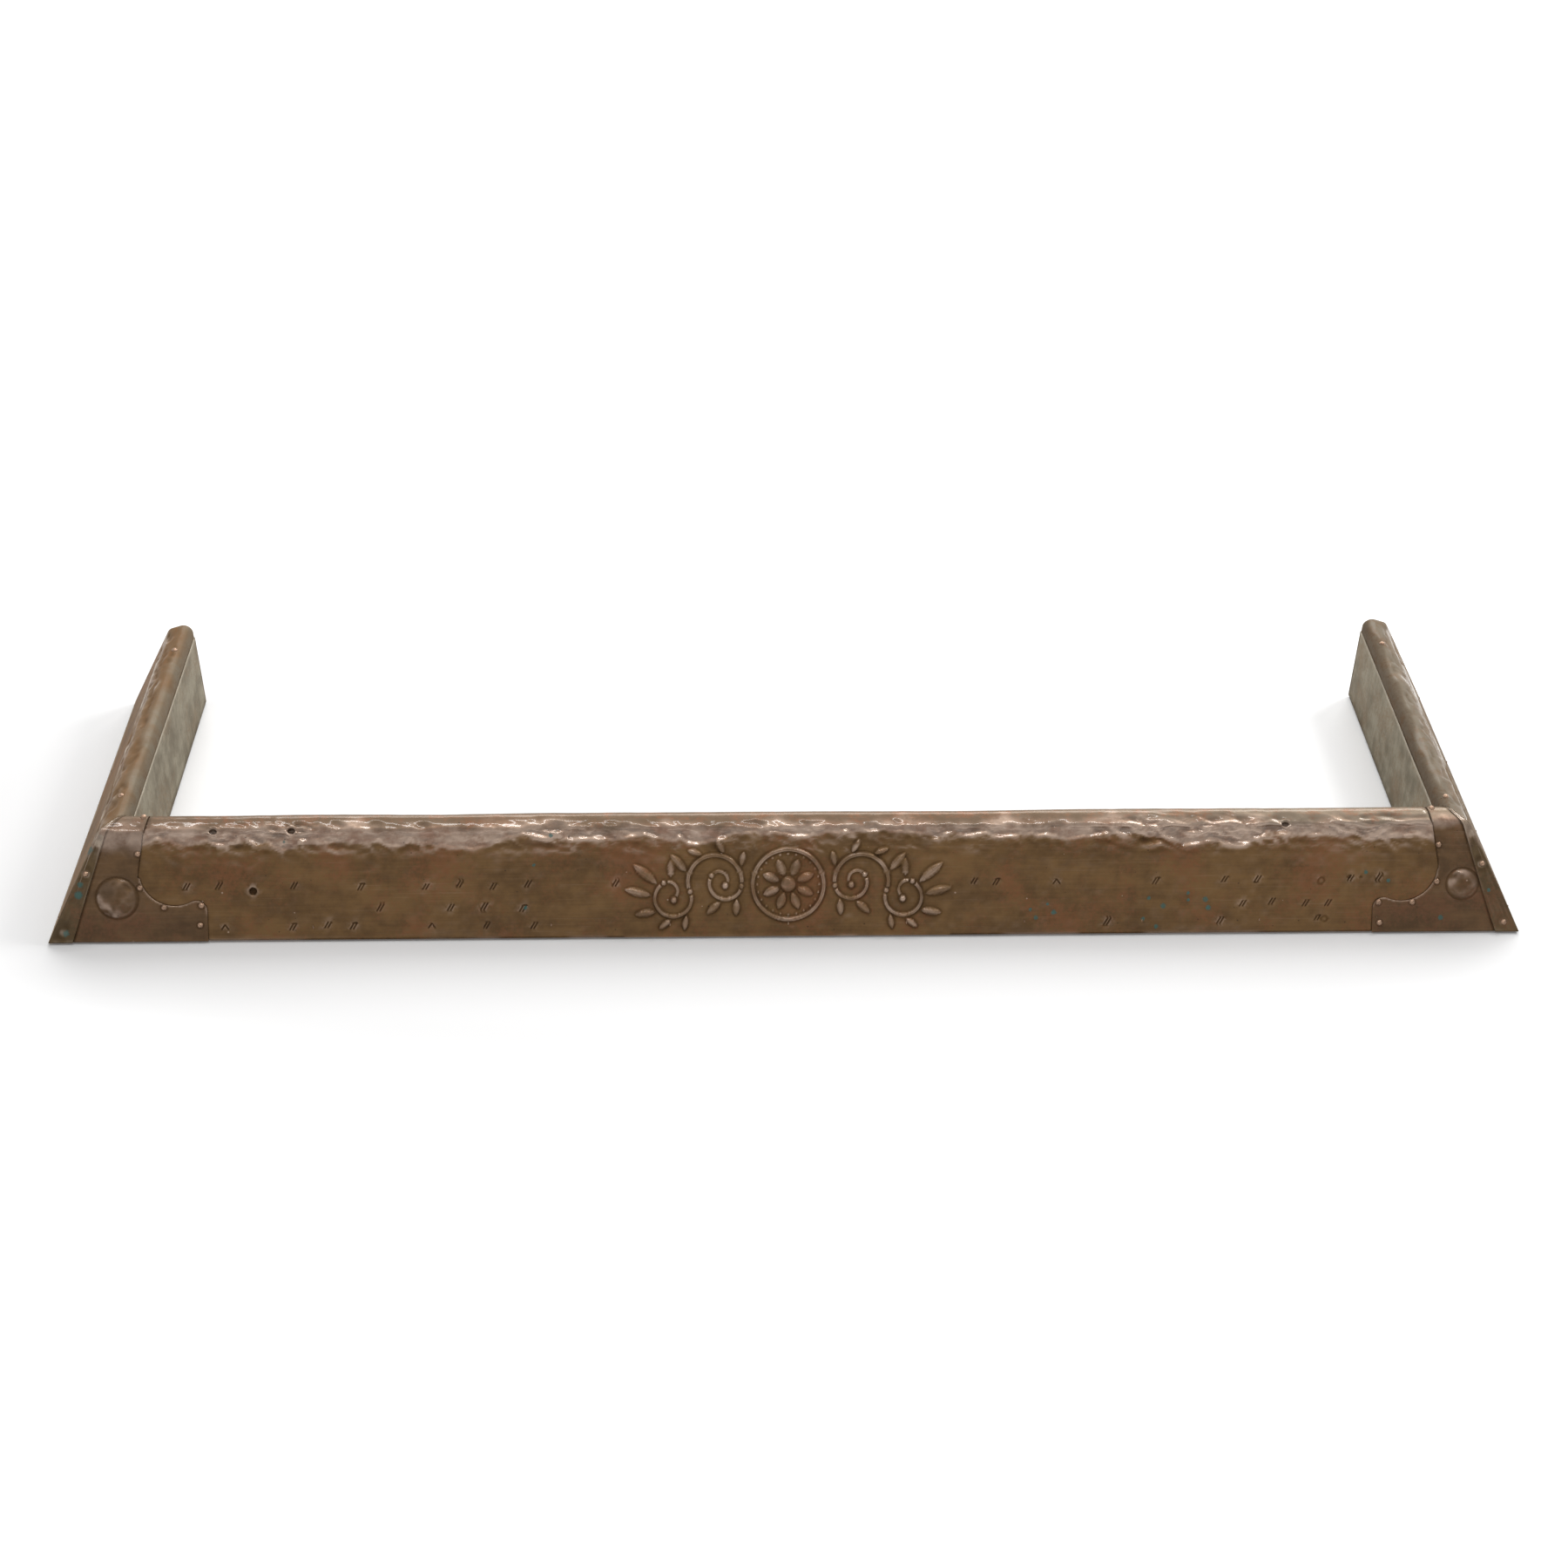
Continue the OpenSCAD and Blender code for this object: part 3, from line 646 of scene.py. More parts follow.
@dataclass(frozen=True)
class Ornament:
    """Symmetrical leaf scrolls on both sides of a beaded flower, raised from the face."""

    middle: float = HALF
    up: float = 50.0
    relief: float = 3.6
    ring_r: float = 33.0
    stem_d: float = 4.4
    scroll_r: float = 25.0
    tail_r: float = 17.0
    leaf_l: float = 30.0
    collar_d: float = 5.2
    bead_d: float = 2.6
    sunk: float = 0.6
    reach: float = 152.0

    def flower(self) -> list[Leaf | Stem | Knob]:
        """Returns the forms of the flower and its beaded ring.

        Returns:
            The forms, placed from the flower's middle.
        """
        heart = 15.0
        petal = self.ring_r - heart / 2 - self.stem_d - 3.4
        forms: list[Leaf | Stem | Knob] = [Knob(0, 0, heart, self.relief)]
        for i in range(8):
            turn = (i + 0.5) * 45.0
            at = polar(heart / 2 + self.sunk, turn)
            forms.append(Leaf(at[0], at[1], turn, petal, min(0.72 * petal, 5 * heart / 8)))
        forms.append(Stem(0, 0, self.ring_r, 0, 360, self.stem_d))
        for i in range(24):
            at = polar(self.ring_r - self.stem_d / 2 - self.bead_d / 2 - self.sunk, i * 15.0)
            forms.append(Knob(at[0], at[1], self.bead_d, 1.5))
        return forms

    def scroll(self) -> list[Leaf | Stem | Knob]:
        """Returns the forms of the right-hand scroll, seen from the flower's middle.

        Returns:
            The forms, placed from the flower's middle.
        """
        big = np.array([self.ring_r + self.scroll_r + 10, 3.0])
        small = big + polar(self.scroll_r + self.tail_r, -22)
        curl_r, eye_r = 0.6 * self.scroll_r, 0.32 * self.scroll_r
        curl = big + polar(self.scroll_r - curl_r, 190)
        eye = curl + polar(curl_r - eye_r, 30)
        tip = small + polar(self.tail_r / 2, 60)
        mid, thin = 0.86 * self.stem_d, 0.72 * self.stem_d
        forms: list[Leaf | Stem | Knob] = []
        for centre, r, start, end, d in (
            (big, self.scroll_r, -22, 190, self.stem_d),
            (curl, curl_r, 190, 390, mid),
            (eye, eye_r, 30, 220, thin),
            (small, self.tail_r, 158, 420, mid),
            (tip, self.tail_r / 2, 60, 240, thin),
        ):
            back = math.degrees((self.collar_d / 2 + self.sunk) / r)
            forms.append(Stem(centre[0], centre[1], r, start + back, end - back, d))
        for at in (
            big + polar(self.scroll_r, -22),
            big + polar(self.scroll_r, 190),
            eye + polar(eye_r, 30),
            tip + polar(self.tail_r / 2, 60),
        ):
            forms.append(Knob(at[0], at[1], self.collar_d, 2.4))
        for at in (eye + polar(eye_r, 225), small + polar(1.5, 250)):
            forms.append(Knob(at[0], at[1], 1.3 * self.collar_d, self.relief))
        for centre, r, a, lean, share, width in (
            (big, self.scroll_r, 150, -48, 0.5, 7),
            (big, self.scroll_r, 108, -48, 0.5, 7),
            (big, self.scroll_r, 66, -48, 0.5, 7),
            (big, self.scroll_r, 20, 28, 0.75, 9),
            (curl, curl_r, 235, 38, 0.55, 8),
            (curl, curl_r, 285, 34, 0.6, 8),
            (small, self.tail_r, 232, 46, 0.5, 7),
            (small, self.tail_r, 276, 46, 0.5, 7),
            (small, self.tail_r, 322, 30, 0.7, 8),
            (small, self.tail_r, 8, 6, 0.9, 9),
            (small, self.tail_r, 44, -4, 1.0, 10),
            (small, self.tail_r, 84, 8, 0.6, 8),
        ):
            at = centre + polar(r + self.stem_d / 2 + self.sunk, a)
            forms.append(Leaf(at[0], at[1], a + lean, share * self.leaf_l, width))
        return forms

    def around(self, x: Array, u: Array) -> Array:
        """Returns the greatest height close by, to darken the ground beside the raised forms."""
        steps = [(2.2 * math.cos(a), 2.2 * math.sin(a)) for a in np.linspace(0, 2 * math.pi, 9)[:-1]]
        return np.maximum.reduce([self.at(x + dx, u + du) for dx, du in steps])

    def at(self, x: Array, u: Array) -> Array:
        """Returns the height of the raised forms at each point.

        Args:
            x: places along the sheet, in millimetres.
            u: places up and over it, in millimetres.

        Returns:
            Heights in millimetres.
        """
        dx, du = x - self.middle, u - self.up
        high = np.zeros_like(x)
        near = (np.abs(dx) < self.reach) & (np.abs(du) < self.up)
        px, pu = dx[near], du[near]
        best = np.zeros_like(px)
        for form in self.flower():
            best = np.maximum(best, form.at(px, pu, self.relief))
        mirrored = np.abs(px)
        for form in self.scroll():
            best = np.maximum(best, form.at(mirrored, pu, self.relief))
        high[near] = best
        return high


# ------------------------------------------------------------------ corner plates' outline


class Side(Enum):
    """The two hands of the fender."""

    LEFT = "left"
    RIGHT = "right"


@dataclass(frozen=True)
class PlateShape:
    """Outline of a corner plate: toe, rounded nose, cove and leaning neck, measured from the corner."""

    neck: float
    toe: float
    cove_r: float
    cove_low: float
    boss_d: float
    boss_h: float
    boss_in: float
    boss_up: float
    toe_pin_up: float
    nose_r: float = 10.0
    neck_lean: float = 10.0
    pin_edge: float = 2.8

    @property
    def cove(self) -> tuple[float, float]:
        """Centre of the cove."""
        return self.neck + self.cove_r, self.cove_low + self.cove_r

    @property
    def nose(self) -> tuple[float, float]:
        """Centre of the nose, whose circle touches the cove's."""
        along, reach = self.toe - self.nose_r, self.cove_r + self.nose_r
        return along, self.cove[1] - math.sqrt(reach**2 - (along - self.cove[0]) ** 2)

    def neck_edge(self, up: Array | float) -> Array | float:
        """Returns how far from the corner the neck's free edge lies at that height."""
        t = np.array(self.cove) + polar(self.cove_r, 180 - self.neck_lean)
        return t[0] + (up - t[1]) * math.tan(math.radians(self.neck_lean))

    def outline(self) -> Array:
        """Returns the outline's points, from below the corner round to above it.

        Returns:
            One row for each point: distance from the corner and height.
        """
        cove, nose, top = self.cove, self.nose, 150.0
        meet = math.degrees(math.atan2(cove[1] - nose[1], cove[0] - nose[0]))
        points = [(-40.0, -20.0), (self.toe, -20.0)]
        points += [tuple(np.array(nose) + polar(self.nose_r, a)) for a in np.linspace(0, meet, 15)]
        cove_angles = np.linspace(meet + 180, 180 - self.neck_lean, 30)
        points += [tuple(np.array(cove) + polar(self.cove_r, a)) for a in cove_angles]
        points += [(float(self.neck_edge(top)), top), (-40.0, top)]
        return np.array(points)

    def away(self, along: Array, up: Array) -> tuple[Array, Array]:
        """Measures points against the outline.

        Args:
            along: distances from the corner.
            up: heights up the face.

        Returns:
            The distance of each point from the outline, below zero on the plate, and the nearest
            points of the outline.
        """
        p = np.column_stack([along, up])
        corners = self.outline()
        best = np.full(len(p), 1e9)
        nearest = p.copy()
        inside = np.zeros(len(p), bool)
        for a, b in zip(corners, np.roll(corners, -1, axis=0)):
            run = b - a
            t = np.clip(((p - a) @ run) / (run @ run), 0, 1)
            at = a + t[:, None] * run
            gap = np.hypot(*(p - at).T)
            closer = gap < best
            best[closer], nearest[closer] = gap[closer], at[closer]
            crosses = (a[1] > p[:, 1]) != (b[1] > p[:, 1])
            with np.errstate(divide="ignore", invalid="ignore"):
                cut = a[0] + (p[:, 1] - a[1]) * run[0] / run[1]
            inside ^= crosses & (p[:, 0] < cut)
        return np.where(inside, -best, best), nearest

    def pins(self) -> list[tuple[float, float]]:
        """Returns the places of the pins on the face, from the corner and up the face.

        Returns:
            One pair for each pin.
        """
        cove, nose = np.array(self.cove), np.array(self.nose)
        return [
            (float(self.neck_edge(PLATE_PINS_UP)) - self.pin_edge, PLATE_PINS_UP),
            tuple(cove + polar(self.cove_r + self.pin_edge, 205)),
            tuple(cove + polar(self.cove_r + self.pin_edge, 253)),
            tuple(nose + polar(self.nose_r - self.pin_edge, 49)),
            (self.toe - 7.0, self.toe_pin_up),
        ]


PLATES = {
    Side.LEFT: PlateShape(
        neck=86.0, toe=147.5, cove_r=32.0, cove_low=34.0, boss_d=38.0,
        boss_h=7.0, boss_in=65.0, boss_up=41.7, toe_pin_up=15.6,
    ),
    Side.RIGHT: PlateShape(
        neck=78.5, toe=138.5, cove_r=33.5, cove_low=30.0, boss_d=29.0,
        boss_h=4.5, boss_in=55.0, boss_up=46.0, toe_pin_up=9.3,
    ),
}


def lap_width(s: Array | float) -> Array | float:
    """Returns the width of the lap strip at the distance s in from the base edge."""
    return LAP_WIDTH * (1 - s / SECTION.roll_line)


def lap_at(z: float) -> tuple[float, float]:
    """Returns the middle of the lap strip at the height z, from the corner and up the face."""
    s = z * math.tan(LEAN)
    return s + float(lap_width(s)) / 2, z / math.cos(LEAN)


# ------------------------------------------------------------------ reliefs


class Relief:
    """Height of a bent sheet's outer face over its section, and the wear, grime and painted light and shade
    that follow from it.
    """

    def height(self, x: Array, u: Array) -> Array:
        """Returns the height at each point of the flat sheet."""
        raise NotImplementedError

    def worn(self, x: Array, u: Array) -> Array:
        """Returns the height whose lumps are rubbed and painted lighter and whose hollows gather grime and
        painted shade.
        """
        return self.height(x, u)

    def curve(self, x: Array, u: Array, reach: float) -> Array:
        """Returns how far each point stands above its surroundings at that reach.

        Args:
            x: places along the sheet, in millimetres.
            u: places up and over it, in millimetres.
            reach: distance to those surroundings, in millimetres.

        Returns:
            Heights in millimetres.
        """
        steps = ((reach, 0), (-reach, 0), (0, reach), (0, -reach))
        around = sum(self.worn(x + dx, u + du) for dx, du in steps)
        return self.worn(x, u) - around / 4


def seeded_dents(seed: int, count: int, start: float, end: float, up: float, spread: float) -> list[Dent]:
    """Returns hollows strewn along the rolled edge of a sheet.

    Args:
        seed: seed of their places and sizes.
        count: number of hollows.
        start: x where they begin.
        end: x where they end.
        up: u of their middle line.
        spread: half the width of the strip that they lie in.

    Returns:
        The hollows.
    """
    rng = np.random.default_rng(seed)
    dents = []
    for i in range(count):
        x = start + (end - start) * (i + rng.uniform(0.1, 0.9)) / count
        half_x = 6 + 18 * rng.uniform() ** 1.8
        half_u = rng.uniform(4.0, 7.5)
        depth = rng.uniform(0.7, 1.0) * (0.9 + 0.05 * half_x)
        u = up + rng.uniform(-spread, spread)
        dents.append(Dent(x, u, half_x, half_u, depth, rng.uniform(-0.12, 0.12)))
    return dents


@dataclass(frozen=True)
class FrontRelief(Relief):
    """Beaten face and roll of the front, with its ornament, marks, holes and dents."""

    ornament: Ornament
    dents: Dents
    marks: PunchMarks
    holes: tuple[tuple[float, float], ...]
    rings: tuple[tuple[float, float, float], ...]
    wave: Noise = Noise(11, 120, 70, 2)
    hammer: Noise = Noise(12, 13, 10, 2)
    rag_wide: Noise = Noise(13, 55, 400)
    rag_fine: Noise = Noise(14, 27, 400, 2)
    rag_crisp: Noise = Noise(19, 6, 400, 2)
    crush: Noise = Noise(15, 23, 11, 2)
    ripple: Noise = Noise(16, 26, 16, 2)
    crisp: Noise = Noise(18, 9, 4.5, 2)

    def border(self, x: Array) -> Array:
        """Returns the u where the beaten bevel of the roll begins, in lobes with cusps between them.

        Args:
            x: places along the sheet, in millimetres.

        Returns:
            Values of u in millimetres.
        """
        level = np.zeros_like(x)
        lobes = np.abs(self.rag_fine.at(x, level))
        dx = x - HALF
        dip = 7.0 * bump(dx, 385, 80) + 4.0 * bump(dx, -300, 60)
        dip = dip + 4.0 * bump(dx, -560, 40) + 3.0 * bump(dx, 540, 45)
        return 96.0 + 2.2 * self.rag_wide.at(x, level) - 6.0 * lobes + 0.9 * self.rag_crisp.at(x, level) - dip

    def crumple(self, x: Array) -> Array:
        """Returns how badly the roll is crumpled along the front, from 0 to 1.

        Args:
            x: places along the sheet, in millimetres.

        Returns:
            Values from 0 to 1.
        """
        dx = x - HALF
        right = 1.2 * bump(dx, 385, 130) + 0.8 * bump(dx, 545, 60)
        left = 0.75 * bump(dx, -470, 90) + 0.35 * bump(dx, -200, 80)
        return np.clip(right + left + 0.22, 0, 1)

    def free(self, x: Array, u: Array) -> Array:
        """Returns 1 where the sheet lies open and 0 where a corner plate covers it.

        Args:
            x: places along the sheet, in millimetres.
            u: places up and over it, in millimetres.

        Returns:
            Values from 0 to 1.
        """
        open_ = np.ones_like(x)
        up = SECTION.up(u)
        for side, plate in PLATES.items():
            along = x if side is Side.LEFT else WIDTH - x
            near = along < 165
            gap, _ = plate.away(along[near], up[near])
            open_[near] = smooth(-1.0, 2.5, gap)
        return open_

    def beaten(self, x: Array, u: Array) -> Array:
        """Returns the height that the hammer has left: bevel, crumples, hollows and the swell of the roll.

        Args:
            x: places along the sheet, in millimetres.
            u: places up and over it, in millimetres.

        Returns:
            Heights in millimetres.
        """
        over = u - self.border(x)
        fade = 1 - 0.95 * smooth(100, 116, u)
        bevel = -np.clip(0.5 * over, 0, 1.9) * fade
        crush = 0.75 - np.abs(self.crush.at(x + 0.6 * u, u)) * 2.0
        folds = 2.3 * crush * self.crumple(x) * bump(u, 98, 26)
        ripple = 0.55 * self.ripple.at(x, u) * bump(u, 94, 34)
        ripple += 1.1 * (0.4 - np.abs(self.crisp.at(x + u, u))) * (0.35 + self.crumple(x)) * bump(u, 99, 25)
        swell = 1.5 * smooth(97, 108, u) * smooth(146, 128, u)
        hollows = self.dents.at(x, u) * (0.35 + 0.65 * smooth(-9, 3, over))
        return bevel + folds + ripple + swell + hollows

    def plain(self, x: Array, u: Array) -> Array:
        """Returns the gentle waves of the face."""
        return (0.5 * self.wave.at(x, u) + 0.12 * self.hammer.at(x, u)) * smooth(0, 7, u)

    def pits(self, x: Array, u: Array) -> Array:
        """Returns how deep the lost pins' holes and rings lie, below zero.

        Args:
            x: places along the sheet, in millimetres.
            u: places up and over it, in millimetres.

        Returns:
            Heights in millimetres.
        """
        low = np.zeros_like(x)
        for hx, hu in self.holes:
            r = np.hypot(x - hx, u - hu)
            low += -2.8 * smooth(3.7, 2.7, r) + 0.5 * bump(r, 5.0, 1.4)
        for rx, ru, rr in self.rings:
            low -= 0.55 * bump(np.hypot(x - rx, u - ru) + 0.9 * self.crisp.at(x, u), rr, 2.0)
        return low

    def worn(self, x: Array, u: Array) -> Array:
        """Returns the height whose lumps are rubbed and painted lighter and whose hollows gather grime and
        painted shade.
        """
        shaped = self.beaten(x, u) + self.plain(x, u) + 0.3 * self.ornament.at(x, u)
        return shaped + 0.9 * self.marks.at(x, u) + 0.6 * self.pits(x, u)

    def stain(self, x: Array, u: Array) -> Array:
        """Returns how dark the marks, the holes and the ground beside the ornament are, from 0 to 1.

        Args:
            x: places along the sheet, in millimetres.
            u: places up and over it, in millimetres.

        Returns:
            Values from 0 up.
        """
        ground = smooth(0.25, 0.0, self.ornament.at(x, u)) * smooth(0.5, 2.2, self.ornament.around(x, u))
        inked = -1.0 * self.marks.at(x, u) / self.marks.depth - 0.6 * self.pits(x, u)
        return np.clip(inked, 0, 1) + 0.32 * ground

    def height(self, x: Array, u: Array) -> Array:
        """Returns the height at each point of the flat sheet.

        Args:
            x: places along the sheet, in millimetres.
            u: places up and over it, in millimetres.

        Returns:
            Heights in millimetres.
        """
        raised = self.ornament.at(x, u)
        calm = 1 - 0.85 * smooth(0.0, 0.4, raised)
        shaped = self.beaten(x, u) * (1 - 0.6 * smooth(0.0, 1.0, raised)) + self.plain(x, u) * calm
        ends = smooth(HALF - 66, HALF - 100, np.abs(x - HALF))
        free = self.free(x, u)
        total = shaped + raised + self.marks.at(x, u) + self.pits(x, u)
        return np.clip(total * free - 0.5 * (1 - free) * ends, -3.0, 4.2)


@dataclass(frozen=True)
class ArmRelief(Relief):
    """Beaten face and rolls of an arm."""

    seed: int
    dents: Dents
    pins: tuple[tuple[float, float], ...]

    def height(self, x: Array, u: Array) -> Array:
        """Returns the height at each point of the flat sheet.

        Args:
            x: places along the sheet, in millimetres.
            u: places up and over it, in millimetres.

        Returns:
            Heights in millimetres.
        """
        wave = Noise(self.seed, 90, 60, 2).at(x, u)
        hammer = Noise(self.seed + 1, 16, 12, 2).at(x, u)
        crush = 1 - np.abs(Noise(self.seed + 2, 17, 9, 2).at(x, u)) * 2.0
        rag = 95 + 2.5 * Noise(self.seed + 3, 40, 400, 2).at(x, np.zeros_like(x))
        bevel = -np.clip(0.45 * (u - rag), 0, 1.5) * (1 - smooth(102, 117, u))
        low = smooth(0, 8, u) * smooth(SECTION.down_to(SHEET_EDGE), SECTION.down_to(80), u)
        flat = smooth(DEPTH - 2, DEPTH - 16, x)
        for px, pu in self.pins:
            flat = flat * smooth(2.5, 9.0, np.hypot(x - px, u - pu))
        beaten = 0.4 * wave + 0.14 * hammer + 0.4 * crush * bump(u, 108, 24) + self.dents.at(x, u) + bevel
        return np.clip((beaten - 0.25) * low * flat, -2.2, 0.0)


@dataclass(frozen=True)
class PlateRelief(Relief):
    """Corner plate with its boss, the groove round it and a few dents."""

    shape: PlateShape
    seed: int
    creases: tuple[tuple[float, float, float, float, float], ...]

    def pin_gap(self, x: Array, u: Array) -> Array:
        """Returns the distance of each point from the nearest pin.

        Args:
            x: places along the sheet, in millimetres.
            u: places up and over it, in millimetres.

        Returns:
            Distances in millimetres.
        """
        gap = np.full(x.shape, 1e9)
        for px, pu in self.shape.pins():
            gap = np.minimum(gap, np.hypot(x - px, u - pu))
        return gap

    def height(self, x: Array, u: Array) -> Array:
        """Returns the height at each point of the flat sheet.

        Args:
            x: places along the sheet, in millimetres.
            u: places up and over it, in millimetres.

        Returns:
            Heights in millimetres.
        """
        shape = self.shape
        r = np.hypot(x - shape.boss_in, u - shape.boss_up)
        half = shape.boss_d / 2
        ball = (half**2 + shape.boss_h**2) / (2 * shape.boss_h)
        dome = np.where(r < half, np.sqrt(np.clip(ball**2 - r**2, 0, None)) - (ball - shape.boss_h), 0.0)
        for cx, cu, half_l, half_w, deep in self.creases:
            px, pu = x - shape.boss_in - cx, u - shape.boss_up - cu
            turn = math.atan2(cu, cx)
            a = px * math.cos(turn) + pu * math.sin(turn)
            b = pu * math.cos(turn) - px * math.sin(turn)
            hollow = np.clip(1 - (a / half_l) ** 2 - (b / half_w) ** 2, 0, 1) ** 1.7
            dome = dome - deep * hollow * smooth(half, half - 4, r)
        dome = dome + 0.35 * Noise(self.seed + 3, 9, 8, 2).at(x, u) * smooth(half, half - 5, r)
        groove = -0.35 * bump(r, half + 1.0, 0.9)
        wave = 0.26 * Noise(self.seed, 55, 40, 2).at(x, u) + 0.1 * Noise(self.seed + 1, 13, 11, 2).at(x, u)
        crush = 0.6 * (0.8 - 2 * np.abs(Noise(self.seed + 2, 17, 11, 2).at(x, u))) * bump(u, 98, 28)
        swell = 0.6 * smooth(97, 108, u) * smooth(138, 128, u)
        calm = smooth(2.2, 8.0, self.pin_gap(x, u)) * smooth(0, 6, u) * smooth(half - 2, half + 6, r)
        return np.clip((wave + crush - 0.05) * calm, -0.5, 0.55) + swell + dome + groove


@dataclass(frozen=True)
class LapRelief(Relief):
    """Strip lapped round the hip, wrinkled lengthwise."""

    seed: int
    strength: float
    pins: tuple[tuple[float, float], ...]

    def height(self, x: Array, u: Array) -> Array:
        """Returns the height at each point, x being the share of the strip's width in hundredths.

        Args:
            x: places along the sheet, in millimetres.
            u: places up and over it, in millimetres.

        Returns:
            Heights in millimetres.
        """
        long = Noise(self.seed, 28, 46, 2).at(x, u)
        fold = 1 - 2.0 * np.abs(Noise(self.seed + 1, 34, 70, 2).at(x + 0.25 * u, u))
        free = smooth(4, 26, x) * smooth(0, 7, u)
        s, _ = SECTION.place(u, 0.0)
        width = lap_width(s)
        for px, pu in self.pins:
            along = s + x / 100 * width
            free = free * smooth(2.0, 6.0, np.hypot(along - px, u - pu))
        grow = smooth(35, 90, u)
        return np.clip((0.28 * long + 0.95 * fold * grow * self.strength - 0.3) * free, -0.5, 0.25)


# ------------------------------------------------------------------ pieces


def rows(stops: list[tuple[float, float]], start: float) -> list[float]:
    """Returns values from start on, spaced by each step up to each stop.

    Args:
        stops: values to reach, each with its greatest step.
        start: first value.

    Returns:
        The values, with start and the stops among them.
    """
    values = [start]
    for stop, step in stops:
        count = max(1, round((stop - values[-1]) / step))
        values += list(np.linspace(values[-1], stop, count + 1)[1:])
    return values


@dataclass
class Piece:
    """One dressed piece: its name, the CAD node that it stands for and its finish."""

    name: str
    node: str
    slot: str
    material: bpy.types.Material

    def finish(self, obj: bpy.types.Object) -> bpy.types.Object:
        """Puts the finish on the object and ties it to the frame.

        Args:
            obj: the piece's object.

        Returns:
            The same object.
        """
        obj.data.materials.append(self.material)
        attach(obj, "root")
        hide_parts(self.node)
        LOG.info("%s: %d faces", obj.name, len(obj.data.polygons))
        return obj


@dataclass
class TopSheet(Piece):
    """Sheet over the outer face, the rolls and the top of a kerb."""

    kerb: Kerb
    relief: Relief
    # Noise of the painted highlight band's border; it also breaks up the painted highlight along the base
    # edge.
    highlight_band: Noise = Noise(31, 60, 400, 2)
    highlight_band_share: float = 1.0
    inner_depth: float = 3.2
    inner_rows: tuple[float, ...] = (132.0, 124.0, 117.0, 110.0, 101.0, 80.0, 50.0, 20.0, 9.0)

    def wear(self, flat: Flat, outer: Array) -> dict[str, Array]:
        """Returns the attributes that the finish reads: the rubbed lumps with painted highlight, grime with
        painted shade in the hollows, the painted highlight band on the roll, the top, the painted highlight
        along the base edge and the inner edge.

        Args:
            flat: places of the vertices on the flat sheet.
            outer: 1 on the outer face and 0 elsewhere.

        Returns:
            Values for the vertices, by name.
        """
        x, u = flat.x, flat.u
        wide = self.relief.curve(x, u, 4.5) * outer
        fine = self.relief.curve(x, u, 1.6) * outer
        level = np.zeros_like(x)
        # Rubbed lumps, which also carry painted highlight.
        rub_and_highlight = (0.8 * wide + 0.9 * fine) * (0.35 + 0.9 * self.patches(x, u))
        return {
            "rub_and_highlight": np.clip(rub_and_highlight, 0, 1),
            # Grime together with painted shade in the hollows.
            "grime": np.clip(-0.5 * wide - 0.6 * fine, 0, 1),
            # Painted highlight on the upturned roll, above the beaten border.
            "highlight_band": smooth(-0.8, 1.4, u - self.border(x)) * self.highlight_band_share,
            "back": smooth(100, 117, u + 7.0 * Noise(33, 26, 30, 3).at(x, u)),
            # Painted highlight along the base edge.
            "rim": bump(u, 0.4, 3.2) * smooth(-0.1, 0.5, self.highlight_band.at(x + 400, level)),
            "inner": level,
        }

    def border(self, x: Array) -> Array:
        """Returns the u where the band of painted highlight and gloss begins."""
        return 96 + 5 * self.highlight_band.at(x, np.zeros_like(x))

    def patches(self, x: Array, u: Array) -> Array:
        """Returns how bright the rubbed and painted-highlight patches are, from 0 to 1."""
        return smooth(-0.5, 0.7, Noise(32, 19, 14, 3).at(x, u))

    def build(self, metal: Metal) -> bpy.types.Object:
        """Beats and bends the flat mesh and makes the object.

        Args:
            metal: the mesh under way.

        Returns:
            The finished object.
        """
        flat = metal.flat()
        outer = ((np.abs(flat.depth - metal.outer) < 0.01) & (flat.u >= 0)).astype(float)
        high = self.relief.height(flat.x, flat.u) * outer
        s, z = SECTION.place(flat.u, flat.depth - high)
        values = self.wear(flat, outer)
        return self.finish(to_object(metal.bm, self.name, self.kerb.world(flat.x, s, z), values))

    def ring(self, outer_rows: list[float], depth: float) -> list[tuple[float, float]]:
        """Returns the sheet's ring: lip, outer face and a coarse inner face.

        Args:
            outer_rows: values of u of the outer face.
            depth: depth of that face inside the outermost copper.

        Returns:
            u and depth of each point of the ring.
        """
        end, inner = outer_rows[-1], depth + self.inner_depth
        ring = [(-LIP, depth)] + [(u, depth) for u in outer_rows]
        ring += [(end, depth + SHEET_T), (end - 5, inner)]
        ring += [(u, inner) for u in self.inner_rows]
        return ring + [(2.4, depth + SHEET_T), (-LIP, depth + SHEET_T)]


